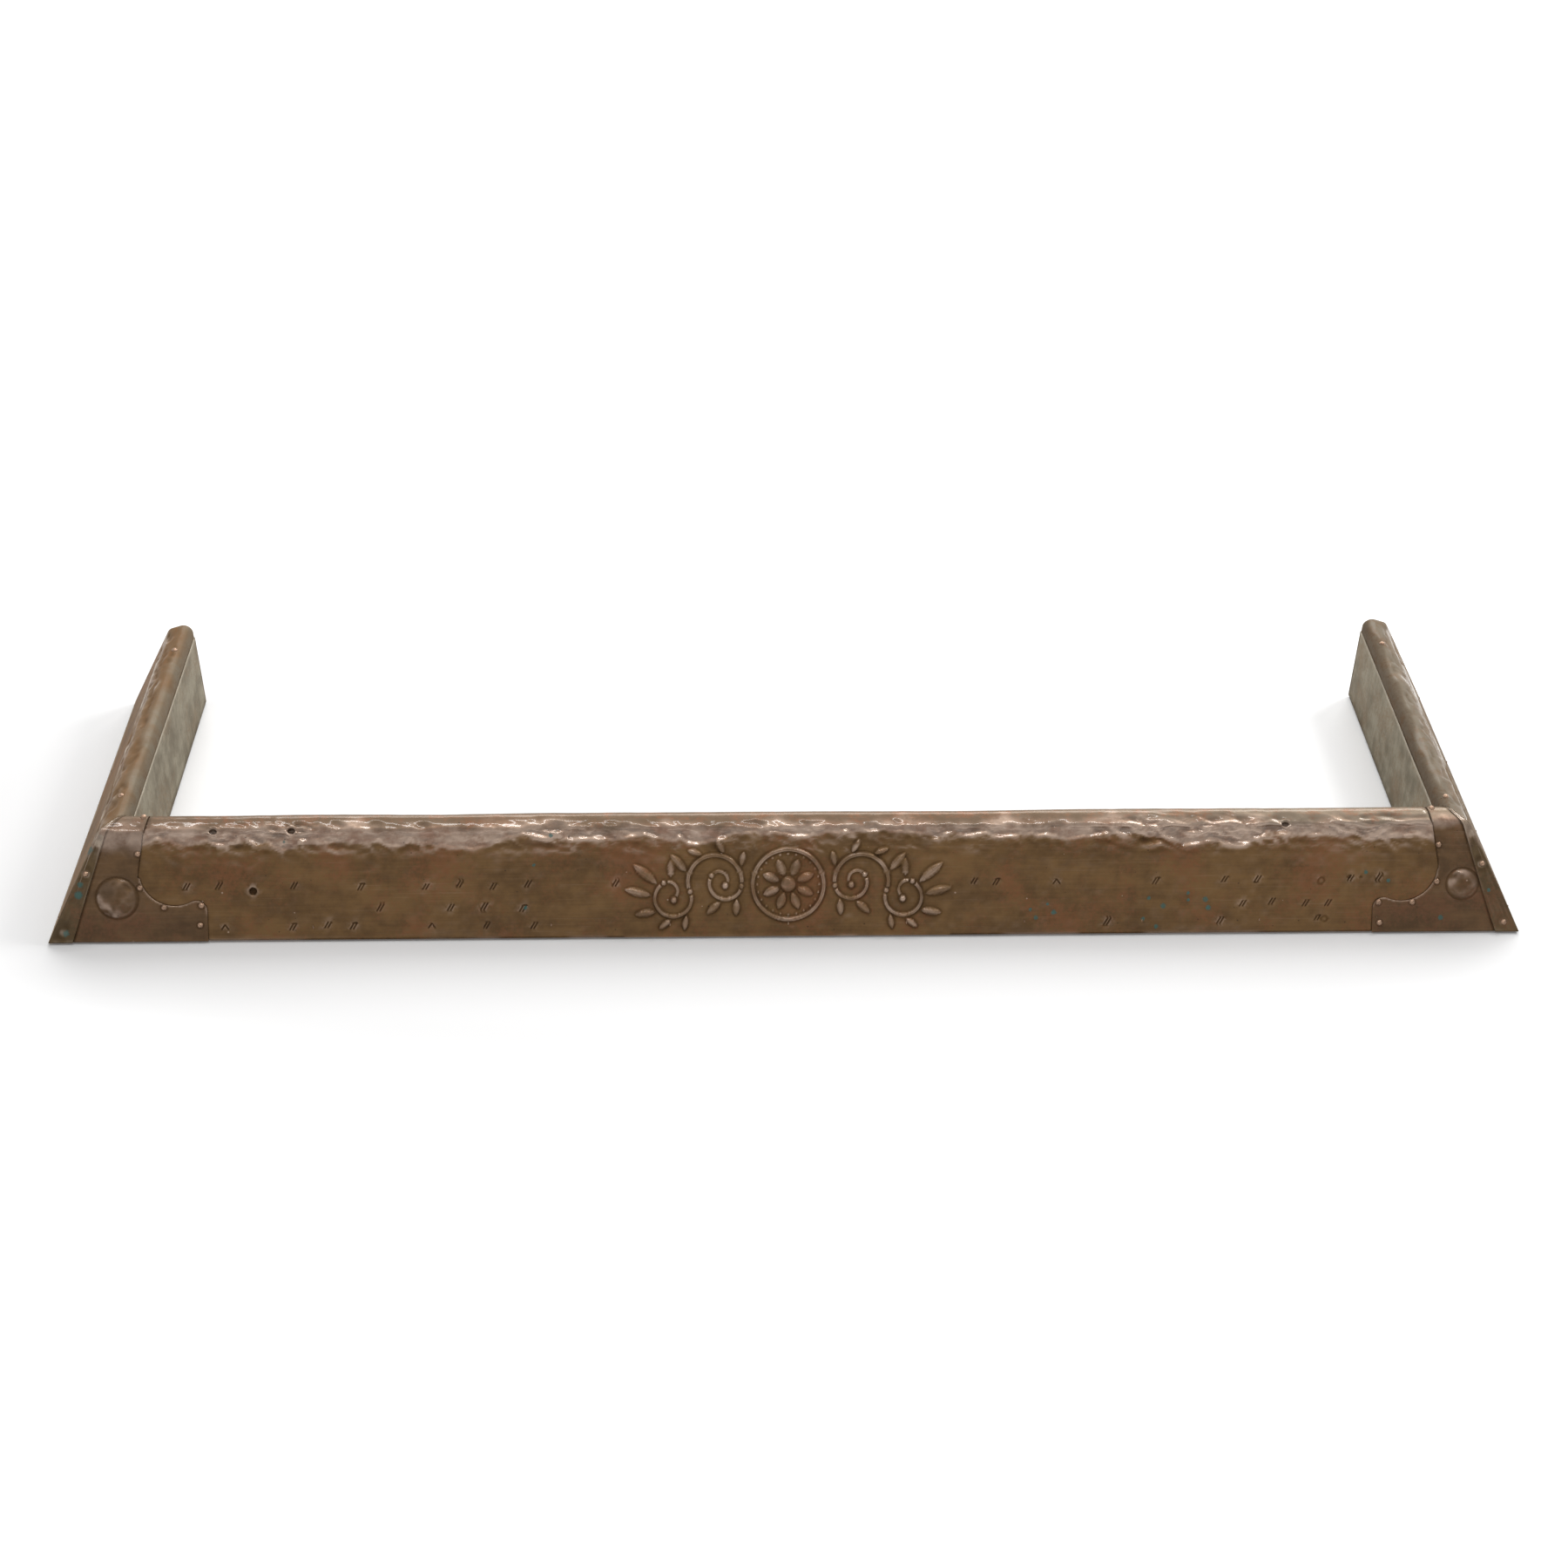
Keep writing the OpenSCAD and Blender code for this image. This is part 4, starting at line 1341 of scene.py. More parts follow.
@dataclass
class FrontSheet(TopSheet):
    """The front's sheet with the raised ornament."""

    relief: FrontRelief
    fine_to: float = 62.0
    medium_to: float = 84.0

    def make(self) -> bpy.types.Object:
        """Builds the sheet.

        Returns:
            The finished object.
        """
        depth = LAYER * self.kerb.layer
        relief = self.relief
        metal = Metal(depth)
        outer_rows = rows([(self.fine_to, 3.1), (118.0, 1.4), (SECTION.down_to(SHEET_EDGE), 3.0)], 0.0)
        reach = relief.ornament.reach
        stops = [(HALF - reach, 200), (HALF + reach, 176), (WIDTH, 200)]
        metal.sweep(self.ring(outer_rows, depth), stops, 0.0)
        metal.cut(self.kerb.mitres)
        fine, medium = self.fine_to, self.medium_to
        metal.refine(2, lambda x, u: (np.abs(x - HALF) < reach) & (u < fine))
        metal.refine(1, lambda x, u: (np.abs(x - HALF) < reach) & (u > fine) & (u < medium))
        metal.refine(3, relief.marks.near)
        for x, u in relief.holes:
            metal.refine_round(x, u, 7.0)
        for x, u, radius in relief.rings:
            metal.refine_round(x, u, radius + 2.5)
        return self.build(metal)

    def border(self, x: Array) -> Array:
        """Returns the u where the beaten bevel begins."""
        return self.relief.border(x)

    def wear(self, flat: Flat, outer: Array) -> dict[str, Array]:
        """Returns the attributes that the finish reads, with stained marks and painted glints on the crumpled
        roll.

        Args:
            flat: places of the vertices on the flat sheet.
            outer: 1 on the outer face and 0 elsewhere.

        Returns:
            Values for the vertices, by name.
        """
        values = super().wear(flat, outer)
        x, u = flat.x, flat.u
        over = smooth(-2.0, 3.0, u - self.border(x))
        grime = values["grime"] * (1 - 0.4 * over) + self.relief.stain(x, u) * outer
        # Painted glints on the crumpled stretches of the roll.
        rub_and_highlight = values["rub_and_highlight"] + 0.35 * self.relief.crumple(x) * bump(u, 100, 20) * self.patches(x, u)
        return values | {"grime": np.clip(grime, 0, 1), "rub_and_highlight": np.clip(rub_and_highlight, 0, 1)}


@dataclass
class ArmSheet(TopSheet):
    """An arm's sheet, with painted shade along its inner edge; the left one also has a painted highlight
    along its foot.
    """

    def wear(self, flat: Flat, outer: Array) -> dict[str, Array]:
        """Returns the attributes that the finish reads, with this side's painted shade and, on the left,
        painted highlight at the foot and a greyer inner edge.

        Args:
            flat: places of the vertices on the flat sheet.
            outer: 1 on the outer face and 0 elsewhere.

        Returns:
            Values for the vertices, by name.
        """
        values = super().wear(flat, outer)
        x, u, grime = flat.x, flat.u, values["grime"]
        if self.kerb is Kerb.RIGHT:
            # Painted shade: a dark strip on the turned-down edge of the roll above the inner sheet.
            grime = grime + 0.6 * smooth(121.5, 126.5, u + 5.5 * Noise(36, 34, 60, 3).at(x, u))
            return values | {"grime": np.clip(grime, 0, 1)}
        return values | {
            # Painted shade on the turned-down strip; painted highlight along the foot.
            "grime": np.clip(grime + 0.4 * smooth(124, 127, u), 0, 1),
            "rim": values["rim"] + 0.8 * smooth(13, 4, u + 5 * Noise(35, 26, 18, 2).at(x, u)),
            "inner": smooth(115, 131, u + 6 * Noise(34, 26, 60, 3).at(x, u)),
        }

    def make(self) -> bpy.types.Object:
        """Builds the sheet.

        Returns:
            The finished object.
        """
        metal = Metal(0.0)
        outer_rows = rows([(60.0, 4.0), (120.0, 1.8), (SECTION.down_to(SHEET_EDGE), 2.4)], 0.0)
        metal.sweep(self.ring(outer_rows, 0.0), [(DEPTH, 175)], 0.0)
        metal.cut(self.kerb.mitres)
        return self.build(metal)


@dataclass
class FlatPiece(Piece):
    """Small sheet cut from a flat grid, thickened and bent over one end of the front."""

    side: Side
    relief: Relief

    def grid(self, metal: Metal, columns: int, lines: int, width: float, height: float) -> None:
        """Fills the mesh with a flat grid, x and u being the grid's own coordinates.

        Args:
            metal: the mesh under way.
            columns: number of cells along.
            lines: number of cells up.
            width: size along, in the grid's own units.
            height: size up, in the same units.
        """
        bmesh.ops.create_grid(metal.bm, x_segments=columns, y_segments=lines, size=0.5)
        for vert in metal.bm.verts:
            vert.co = ((vert.co.x + 0.5) * width, (vert.co.y + 0.5) * height, 0.0)
            vert[metal.u], vert[metal.depth] = vert.co.y, metal.outer

    def thicken(self, metal: Metal) -> None:
        """Gives the flat grid the thickness of the sheet.

        Args:
            metal: the mesh under way.
        """
        made = bmesh.ops.extrude_face_region(metal.bm, geom=metal.bm.faces[:], use_keep_orig=True)
        for item in made["geom"]:
            if isinstance(item, bmesh.types.BMVert):
                item[metal.depth] = metal.outer + SHEET_T

    def world(self, along: Array, s: Array, z: Array) -> Array:
        """Returns points measured from this side's corner in the row frame."""
        return Kerb.FRONT.world(along if self.side is Side.LEFT else WIDTH - along, s, z)


@dataclass
class CornerPlate(FlatPiece):
    """Plate nailed over a corner, with its boss."""

    relief: PlateRelief
    cell: float = 1.25
    top: float = 81.5

    def make(self) -> bpy.types.Object:
        """Builds the plate.

        Returns:
            The finished object.
        """
        metal = Metal(LAYER)
        self.cut_out(metal)
        self.thicken(metal)
        flat = metal.flat()
        outer = np.abs(flat.depth - metal.outer) < 0.01
        high = self.relief.height(flat.x, flat.u) * np.where(outer, 1.0, 0.96)
        s, z = SECTION.place(flat.u, flat.depth - high)
        for vert, place in zip(metal.bm.verts, np.column_stack([flat.x, s, z])):
            vert.co = place
        metal.cut(Kerb.FRONT.mitres[:1])
        flat = metal.flat()
        values = self.wear(flat, (np.abs(flat.depth - metal.outer) < 0.01).astype(float))
        points = self.world(*metal.points().T)
        return self.finish(to_object(metal.bm, self.name, points, values))

    def cut_out(self, metal: Metal) -> None:
        """Cuts the plate's outline out of a grid, finer at the boss.

        Args:
            metal: the mesh under way.
        """
        shape, bm = PLATES[self.side], metal.bm
        width, height = shape.toe + 2.5, SECTION.down_to(self.top)
        self.grid(metal, round(width / self.cell), round(height / self.cell), width, height)
        faces = bm.faces[:]
        mids = np.array([f.calc_center_median()[:2] for f in faces])
        gap, _ = shape.away(mids[:, 0], SECTION.up(mids[:, 1]))
        hip = mids[:, 0] < SECTION.place(mids[:, 1], LAYER)[0] - 1.5
        outside = [f for f, g, h in zip(faces, gap, hip) if g > 0 or h]
        bmesh.ops.delete(bm, geom=outside, context="FACES")
        self.snap(metal, shape)
        near = [e for e in bm.edges if self.near_boss(e, shape)]
        bmesh.ops.subdivide_edges(bm, edges=near, cuts=1, use_grid_fill=True)

    def wear(self, flat: Flat, outer: Array) -> dict[str, Array]:
        """Returns the attributes that the finish reads: rubbed lumps with a painted highlight crescent on the
        boss, grime and dark seams with painted shade in hollows, the painted highlight band, the top and the
        painted highlight along the edge.

        Args:
            flat: places of the vertices on the flat sheet.
            outer: 1 on the outer face and 0 elsewhere.

        Returns:
            Values for the vertices, by name.
        """
        shape, relief, left = PLATES[self.side], self.relief, self.side is Side.LEFT
        x, u = flat.x, flat.u
        wide = relief.curve(x, u, 3.0) * outer
        fine = relief.curve(x, u, 1.3) * outer
        gap, _ = shape.away(x, SECTION.up(u))
        r = np.hypot(x - shape.boss_in, u - shape.boss_up)
        pins = relief.pin_gap(x, u)
        s, _ = SECTION.place(u, LAYER)
        seam = bump(x - s - lap_width(s), 0.7, 1.7) + bump(gap, -0.2, 1.1) * smooth(59, 66, u)
        # Painted highlight: a lit crescent on one side of the boss, added to the rubbed lumps.
        turn = (1.25 if left else 0.3) * math.pi
        lean = (x - shape.boss_in) * math.cos(turn) + (u - shape.boss_up) * math.sin(turn)
        half = shape.boss_d / 2
        lit = smooth(0.15 * half, 0.75 * half, lean) * smooth(half, half - 2, r)
        lit = 0.8 * lit * (0.75 + Noise(46, 7, 6, 2).at(x, u))
        start = 77.0 if left else 96.0
        return {
            "rub_and_highlight": np.clip(0.36 * wide + 0.4 * fine + lit, 0, 1),
            "grime": np.clip(0.55 * bump(pins, 3.2, 1.4) + 0.9 * seam - 0.5 * wide - 0.8 * fine, 0, 1),
            "highlight_band": 0.75 * smooth(start, start + 15, u + 6 * Noise(41, 24, 18, 2).at(x, u)),
            "back": smooth(100, 118, u + 7.0 * Noise(42, 24, 18, 3).at(x, u)),
            "rim": bump(gap, -0.5, 1.2) * smooth(22, 30, u) * smooth(66, 58, u),
        }

    def snap(self, metal: Metal, shape: PlateShape) -> None:
        """Moves the ragged border of the grid on to the outline.

        Args:
            metal: the mesh under way.
            shape: outline of the plate.
        """
        verts = [v for v in metal.bm.verts if v.is_boundary]
        x = np.array([v.co.x for v in verts])
        u = np.array([v.co.y for v in verts])
        gap, nearest = shape.away(x, SECTION.up(u))
        for vert, place, distance in zip(verts, nearest, gap):
            if abs(distance) > 1.8:
                continue
            if vert.co.y > 60:
                vert.co.x = float(shape.neck_edge(float(SECTION.up(np.array([vert.co.y]))[0])))
            elif vert.co.y > 1:
                vert.co.x, vert.co.y = place[0], place[1]
                vert[metal.u] = place[1]
            else:
                vert.co.x = place[0]

    def near_boss(self, edge: bmesh.types.BMEdge, shape: PlateShape) -> bool:
        """Tells whether an edge lies at the boss or its groove."""
        mid = (edge.verts[0].co + edge.verts[1].co) / 2
        return math.hypot(mid.x - shape.boss_in, mid.y - shape.boss_up) < shape.boss_d / 2 + 4


@dataclass
class LapStrip(FlatPiece):
    """Strip of an arm's sheet lapped round the hip on to the front."""

    relief: LapRelief

    def make(self) -> bpy.types.Object:
        """Builds the strip.

        Returns:
            The finished object.
        """
        metal = Metal(0.0)
        height = SECTION.marks[2] + SECTION.inner_r * RISE
        self.grid(metal, 22, 100, 100.0, height)
        self.thicken(metal)
        flat = metal.flat()
        outer = flat.depth < 0.01
        high = self.relief.height(flat.x, flat.u)
        s, z = SECTION.place(flat.u, flat.depth - high)
        along = s + flat.x / 100 * lap_width(s) + np.where(outer, 0, SHEET_T * 0.3)
        fine = self.relief.curve(flat.x, flat.u, 5.0)
        # Painted highlight on the strip's roll and along its hip edge.
        highlight_band = smooth(78, 96, flat.u + 8 * Noise(45, 22, 30, 2).at(flat.x, flat.u))
        edge = bump(flat.x, 100, 12) * smooth(0.0, 0.6, Noise(43, 60, 24).at(flat.x, flat.u) + 0.35)
        values = {
            "rub_and_highlight": np.clip(2.6 * fine, 0, 1) * outer + 0.12 * edge,
            "grime": np.clip(-2.2 * fine, 0, 1) * outer,
            "highlight_band": highlight_band * self.relief.strength,
            "back": 0.6 * smooth(108, 120, flat.u),
            "rim": bump(flat.x, 0, 7) * smooth(-0.3, 0.5, Noise(44, 60, 30, 2).at(flat.x, flat.u)),
        }
        return self.finish(to_object(metal.bm, self.name, self.world(along, s, z), values))


@dataclass
class InnerSheet(Piece):
    """Sheet on the inner side of a kerb, with its lip under the base."""

    kerb: Kerb
    top: float = 81.0

    def make(self) -> bpy.types.Object:
        """Builds the sheet.

        Returns:
            The finished object.
        """
        face = SECTION.roll_line - LAYER * self.kerb.layer + LAYER
        metal = Metal(0.0, lambda u, depth: (face - depth, u))
        heights = list(np.linspace(0.0, self.top, 22))
        ring = [(0.0, LIP)] + [(z, 0.0) for z in heights]
        ring += [(z, SHEET_T) for z in (self.top, 60.0, 30.0, SHEET_T)] + [(SHEET_T, LIP)]
        metal.sweep(ring, [(self.kerb.length, round(self.kerb.length / 5))], 0.0)
        metal.cut(self.kerb.mitres)
        points = metal.points()
        seed = {Kerb.FRONT: 51, Kerb.LEFT: 54, Kerb.RIGHT: 57}[self.kerb]
        x, z = points[:, 0], points[:, 2]
        wave = 0.22 * Noise(seed, 90, 60, 2).at(x, z) + 0.06 * Noise(seed + 1, 18, 14, 2).at(x, z)
        hold = smooth(0, 8, z) * (points[:, 1] > face - SHEET_T - 0.01)
        points[:, 1] += np.clip(wave - 0.1, -0.45, 0.0) * hold
        # Painted highlight along the top edge; darker towards the bottom.
        values = {
            "rub_and_highlight": 0.3 * bump(z, self.top, 1.6),
            "grime": 0.5 * bump(z, 0.0, 8.0),
            "highlight_band": np.zeros_like(z),
            "back": np.zeros_like(z),
            "rim": 0.35 * bump(z, self.top, 2.0),
        }
        return self.finish(to_object(metal.bm, self.name, self.kerb.world(*points.T), values))


@dataclass
class Former(Piece):
    """Wooden kerb under the sheets, planed back where hollows of the copper reach in."""

    kerb: Kerb
    sunk: float = 4.2
    planed: float = 0.7
    shoulder: float = 72.9
    rows_up: tuple[float, ...] = (4, 30, 60, 90, 100, 104, 108, 116, 120, 124, 128, 132)

    def make(self) -> bpy.types.Object:
        """Builds the former.

        Returns:
            The finished object.
        """
        deep = LAYER * (self.kerb.layer + 1) + self.sunk
        back = SECTION.roll_line - LAYER * self.kerb.layer
        s, z = SECTION.place(np.array(self.rows_up), np.full(len(self.rows_up), deep))
        profile = [(float(a), float(b)) for a, b in zip(s, z)]
        outer_lip = LAYER * self.kerb.layer / math.cos(LEAN) + LIP + SEAT_GAP
        inner_lip = back + SHEET_T - LIP
        ring = [(outer_lip, 0.0), (outer_lip, LAYER)] + [(profile[0][0] + 1.0, LAYER)] + profile
        ring += [(back - self.sunk, self.shoulder), (back - self.planed, self.shoulder)]
        ring += [(back - self.planed, LAYER), (inner_lip, LAYER), (inner_lip, 0.0)]
        metal = Metal(0.0, lambda u, depth: (depth, u))
        metal.sweep([(z, s) for s, z in ring], [(self.kerb.length, 24)], 0.0)
        metal.cut(self.kerb.mitres)
        points = self.kerb.world(*metal.points().T)
        return self.finish(to_object(metal.bm, self.name, points))


# ------------------------------------------------------------------ finishes

Colour = tuple[float, float, float]
Socket = bpy.types.NodeSocket


class Value:
    """A number socket of a shader, with the arithmetic of plain numbers."""

    def __init__(self, tree: "Shader", socket: bpy.types.NodeSocket) -> None:
        """Wraps one socket of the shader tree."""
        self.tree = tree
        self.socket = socket

    def math(self, operation: str, *others: "Value | float", clamp: bool = False) -> "Value":
        """Returns the result of a math node on this value and others."""
        made = self.tree.node("ShaderNodeMath", {"operation": operation, "use_clamp": clamp}, [self, *others])
        return Value(self.tree, made.outputs[0])

    def __add__(self, other: "Value | float") -> "Value":
        """Returns the sum."""
        return self.math("ADD", other)

    def __mul__(self, other: "Value | float") -> "Value":
        """Returns the product."""
        return self.math("MULTIPLY", other)

    def __sub__(self, other: "Value | float") -> "Value":
        """Returns the difference."""
        return self.math("SUBTRACT", other)

    def __rsub__(self, other: "Value | float") -> "Value":
        """Returns the difference from a plain number."""
        return (self * -1.0) + other

    __radd__ = __add__
    __rmul__ = __mul__

    def clamp(self) -> "Value":
        """Returns the value held between 0 and 1."""
        return self.math("ADD", 0.0, clamp=True)

    def step(self, low: float, high: float) -> "Value":
        """Returns the smooth step of the value, 0 at low and 1 at high.

        Args:
            low: value at which the step is 0.
            high: value at which it is 1.

        Returns:
            The stepped value.
        """
        ends = (high, low, 1.0, 0.0) if low > high else (low, high, 0.0, 1.0)
        made = self.tree.node("ShaderNodeMapRange", {"interpolation_type": "SMOOTHSTEP"}, [self, *ends])
        return Value(self.tree, made.outputs[0])

    def most(self, other: "Value | float") -> "Value":
        """Returns the larger of two values."""
        return self.math("MAXIMUM", other)


Input = Value | Socket | Colour | float


class Shader:
    """Node tree of one material under way."""

    def __init__(self, name: str) -> None:
        """Starts a material with an empty tree and one Principled node.

        Args:
            name: name of the material.
        """
        self.material = bpy.data.materials.new(name)
        self.material.use_nodes = True
        self.nodes = self.material.node_tree.nodes
        self.links = self.material.node_tree.links
        self.nodes.clear()
        self.principled = self.nodes.new("ShaderNodeBsdfPrincipled")
        out = self.nodes.new("ShaderNodeOutputMaterial")
        self.links.new(self.principled.outputs[0], out.inputs["Surface"])

    def feed(self, socket: Socket, value: Input) -> None:
        """Sets a socket to a constant or links it to another one.

        Args:
            socket: the socket to feed.
            value: a number, a colour or another socket.
        """
        if isinstance(value, Value):
            self.links.new(value.socket, socket)
        elif isinstance(value, bpy.types.NodeSocket):
            self.links.new(value, socket)
        elif socket.type == "RGBA" and isinstance(value, tuple):
            socket.default_value = (*value, 1.0)
        else:
            socket.default_value = value

    def node(
        self, kind: str, settings: dict[str, str | bool], inputs: list[Input] | dict[str | int, Input]
    ) -> bpy.types.Node:
        """Adds a node.

        Args:
            kind: its type.
            settings: its properties, set first.
            inputs: values or sockets for its inputs, in order or by name or number.

        Returns:
            The node.
        """
        made = self.nodes.new(kind)
        for key, value in settings.items():
            setattr(made, key, value)
        pairs = inputs.items() if isinstance(inputs, dict) else enumerate(inputs)
        for key, value in pairs:
            self.feed(made.inputs[key], value)
        return made

    def place(self, size: Point = (1.0, 1.0, 1.0)) -> Socket:
        """Returns the object coordinates in millimetres, divided by a size along each axis.

        Args:
            size: size along each axis, in millimetres.

        Returns:
            The coordinates.
        """
        made = self.nodes.new("ShaderNodeTexCoord")
        inputs = {"Vector": made.outputs["Object"], "Scale": tuple(1 / MM / s for s in size)}
        return self.node("ShaderNodeMapping", {}, inputs).outputs[0]

    def noise(self, size: Point | float, detail: float = 2.0, rough: float = 0.5) -> Value:
        """Returns noise with cells of a size in millimetres.

        Args:
            size: size of a cell, as one number or one for each axis.
            detail: number of octaves.
            rough: strength of the finer octaves.

        Returns:
            The noise, from 0 to 1.
        """
        sizes = (size, size, size) if isinstance(size, (int, float)) else size
        inputs = {"Vector": self.place(sizes), "Scale": 1.0, "Detail": detail, "Roughness": rough}
        return Value(self, self.node("ShaderNodeTexNoise", {}, inputs).outputs[0])

    def noise_colour(self, size: float) -> Socket:
        """Returns noise as a vector, with cells of a size in millimetres."""
        inputs = {"Vector": self.place((size, size, size)), "Scale": 1.0, "Detail": 2.0}
        return self.node("ShaderNodeTexNoise", {}, inputs).outputs["Color"]

    def specks(self, size: float, radius: float, share: float) -> Value:
        """Returns scattered round specks.

        Args:
            size: spacing of the specks in millimetres.
            radius: their radius as a share of the spacing.
            share: share of the cells that hold one.

        Returns:
            1 on a speck and 0 elsewhere, with soft edges.
        """
        cells = self.node(
            "ShaderNodeTexVoronoi",
            {"feature": "F1"},
            {"Vector": self.place((size, size, size)), "Scale": 1.0, "Randomness": 1.0},
        )
        parts = self.node("ShaderNodeSeparateColor", {}, [cells.outputs["Color"]])
        chosen = Value(self, parts.outputs[0]).math("LESS_THAN", share)
        grown = Value(self, parts.outputs[1]) * radius * 0.7 + radius * 0.5
        return (grown - Value(self, cells.outputs["Distance"])).step(0.0, radius * 0.4) * chosen

    def attribute(self, name: str) -> Value:
        """Returns a number stored on the mesh."""
        made = self.node("ShaderNodeAttribute", {"attribute_name": name}, [])
        return Value(self, made.outputs["Fac"])

    def mix(self, a: Input, b: Input, share: "Value | float") -> Socket:
        """Returns the blend of two colours."""
        made = self.node("ShaderNodeMix", {"data_type": "RGBA"}, {0: share, 6: a, 7: b})
        return made.outputs[2]

    def spot(self, at: Point, radius: float, warp: Socket) -> Value:
        """Returns a soft-edged spot round a point in millimetres, in coordinates pushed about by noise."""
        away = self.node("ShaderNodeVectorMath", {"operation": "DISTANCE"}, [warp, tuple(at)])
        return Value(self, away.outputs["Value"]).step(radius, radius * 0.45)

    def set(self, name: str, value: Input) -> None:
        """Sets or links an input of the Principled node."""
        self.feed(self.principled.inputs[name], value)

    def bump(self, height: Value, distance: float) -> None:
        """Feeds a height in millimetres to the Principled node's normal."""
        inputs = {"Height": height, "Distance": distance * MM, "Strength": 1.0}
        self.set("Normal", self.node("ShaderNodeBump", {}, inputs).outputs[0])


@dataclass(frozen=True)
class Copper:
    """Aged copper sheet: brown patina, paler where rubbed and where highlight is painted on the roll, the
    edges and the right of the top, dark with grime and painted shade in its hollows, specked with verdigris.
    """

    name: str
    dark: Colour
    mid: Colour
    red: Colour
    pale: Colour
    back: Colour
    streak: Point
    # Painted highlight: the top turns to this paler colour towards +X, where the key lamp lies.
    cream_highlight: Colour = (0.33, 0.265, 0.19)
    inner: Colour = (0.235, 0.20, 0.148)
    grime_colour: Colour = (0.030, 0.017, 0.010)
    verdigris: Colour = (0.075, 0.175, 0.155)
    spots: tuple[tuple[float, float, float, float], ...] = ()
    speck_share: float = 0.05
    metallic: float = 0.5
    roughness: float = 0.42
    coat: float = 0.16
    cream_highlight_from: float = 150.0
    cream_highlight_to: float = 520.0

    def make(self) -> bpy.types.Material:
        """Builds the material.

        Returns:
            The material.
        """
        s = Shader(self.name)
        wide, mottle, fine = s.noise(46, 3.0), s.noise(15, 4.0, 0.6), s.noise(3.2, 3.0, 0.6)
        streak, cloud = s.noise(self.streak, 3.0, 0.6), s.noise((90, 40, 40), 2.0)
        rub_and_highlight, grime = s.attribute("rub_and_highlight"), s.attribute("grime")
        highlight_band, back, rim = s.attribute("highlight_band"), s.attribute("back"), s.attribute("rim")
        tone = (mottle * 0.55 + cloud * 0.5 + streak * 0.22 - 0.14).step(0.3, 0.68)
        colour = s.mix(self.dark, self.mid, tone)
        colour = s.mix(colour, self.red, (wide * 0.6 + fine * 0.4).step(0.47, 0.66) * 0.65)
        patch = (fine * 0.22 + mottle * 0.5 + s.noise((26, 12, 12), 2.0) * 0.6).step(0.5, 0.82)
        # Rubbing together with painted highlight on the band and the lumps.
        light = (highlight_band * (patch * 0.72 + 0.2) + rub_and_highlight * (fine * 0.5 + 0.6)).clamp()
        # Painted shade: the band's unlit patches turn red-brown.
        colour = s.mix(colour, self.red, highlight_band * (1 - patch) * 0.8)
        colour = s.mix(colour, self.pale, light)
        side = s.node("ShaderNodeSeparateXYZ", {}, [s.place()])
        # Painted highlight: the top turns paler towards +X.
        right = Value(s, side.outputs[0]).step(self.cream_highlight_from, self.cream_highlight_to)
        rear = s.mix(self.back, self.cream_highlight, right)
        rear = s.mix(rear, self.red, (mottle * 0.55 + streak * 0.25 + fine * 0.2).step(0.47, 0.64) * 0.75)
        colour = s.mix(colour, rear, back * 0.92)
        colour = s.mix(colour, self.inner, s.attribute("inner") * (patch * 0.5 + 0.5))
        # Painted highlight along edges.
        colour = s.mix(colour, self.pale, (rim * 0.8).clamp())
        pits = s.specks(8.5, 0.1, 0.45)
        scratch = s.noise((75.0, 1.3, 1.3), 2.0).step(0.63, 0.70) * (cloud * 0.9)
        colour = s.mix(colour, self.pale, scratch * 0.13)
        # Grime and pits, with painted shade in the hollows.
        colour = s.mix(colour, self.grime_colour, (pits * 0.55 + grime * (fine * 0.9 + 0.3)).clamp())
        colour = s.mix(colour, self.pale, s.specks(17.0, 0.06, 0.5) * 0.6)
        green = s.specks(23.0, 0.05, self.speck_share)
        push = s.node("ShaderNodeVectorMath", {"operation": "SCALE"}, {0: s.noise_colour(3.0), 3: 3.0})
        warp = s.node("ShaderNodeVectorMath", {"operation": "ADD"}, [s.place(), push.outputs[0]]).outputs[0]
        for x, y, z, radius in self.spots:
            green = green.most(s.spot((x + 1.5, y + 1.5, z + 1.5), radius * 0.7 + 1.3, warp))
        colour = s.mix(colour, self.verdigris, (green * (fine * 0.9 + 0.3)).clamp())
        s.set("Base Color", colour)
        s.set("Metallic", (green * -0.9 + self.metallic).clamp())
        rough = mottle * 0.18 + fine * 0.16 + (self.roughness - 0.17) + grime * 0.2 + green * 0.4
        s.set("Roughness", (rough - (rub_and_highlight * 0.5 + highlight_band * 0.5) * 0.16 + back * 0.14).clamp())
        s.set("Specular IOR Level", 0.22)
        s.set("Specular Tint", (0.45, 0.36, 0.27))
        polish = (light * 0.5 + highlight_band * 0.7) * (1 - back * 0.8)
        s.set("Coat Weight", (polish + self.coat - grime * 0.4).clamp())
        s.set("Coat Roughness", 0.09)
        s.bump(mottle * 0.5 + fine * 0.26 + streak * 0.12 - pits * 0.5 + green * 0.3, 0.24)
        return s.material


@dataclass(frozen=True)
class Wood:
    """Planed softwood, darkened with age."""

    name: str
    pale: Colour = (0.36, 0.22, 0.10)
    dark: Colour = (0.17, 0.09, 0.04)

    def make(self) -> bpy.types.Material:
        """Builds the material.

        Returns:
            The material.
        """
        s = Shader(self.name)
        grain = s.noise((140.0, 5.0, 5.0), 5.0, 0.6)
        fibre = s.noise((30.0, 0.9, 0.9), 2.0)
        s.set("Base Color", s.mix(self.pale, self.dark, (grain * 0.8 + fibre * 0.3).step(0.42, 0.72)))
        s.set("Roughness", (fibre * 0.2 + 0.6).clamp())
        s.bump(grain * 0.5 + fibre * 0.5, 0.2)
        return s.material


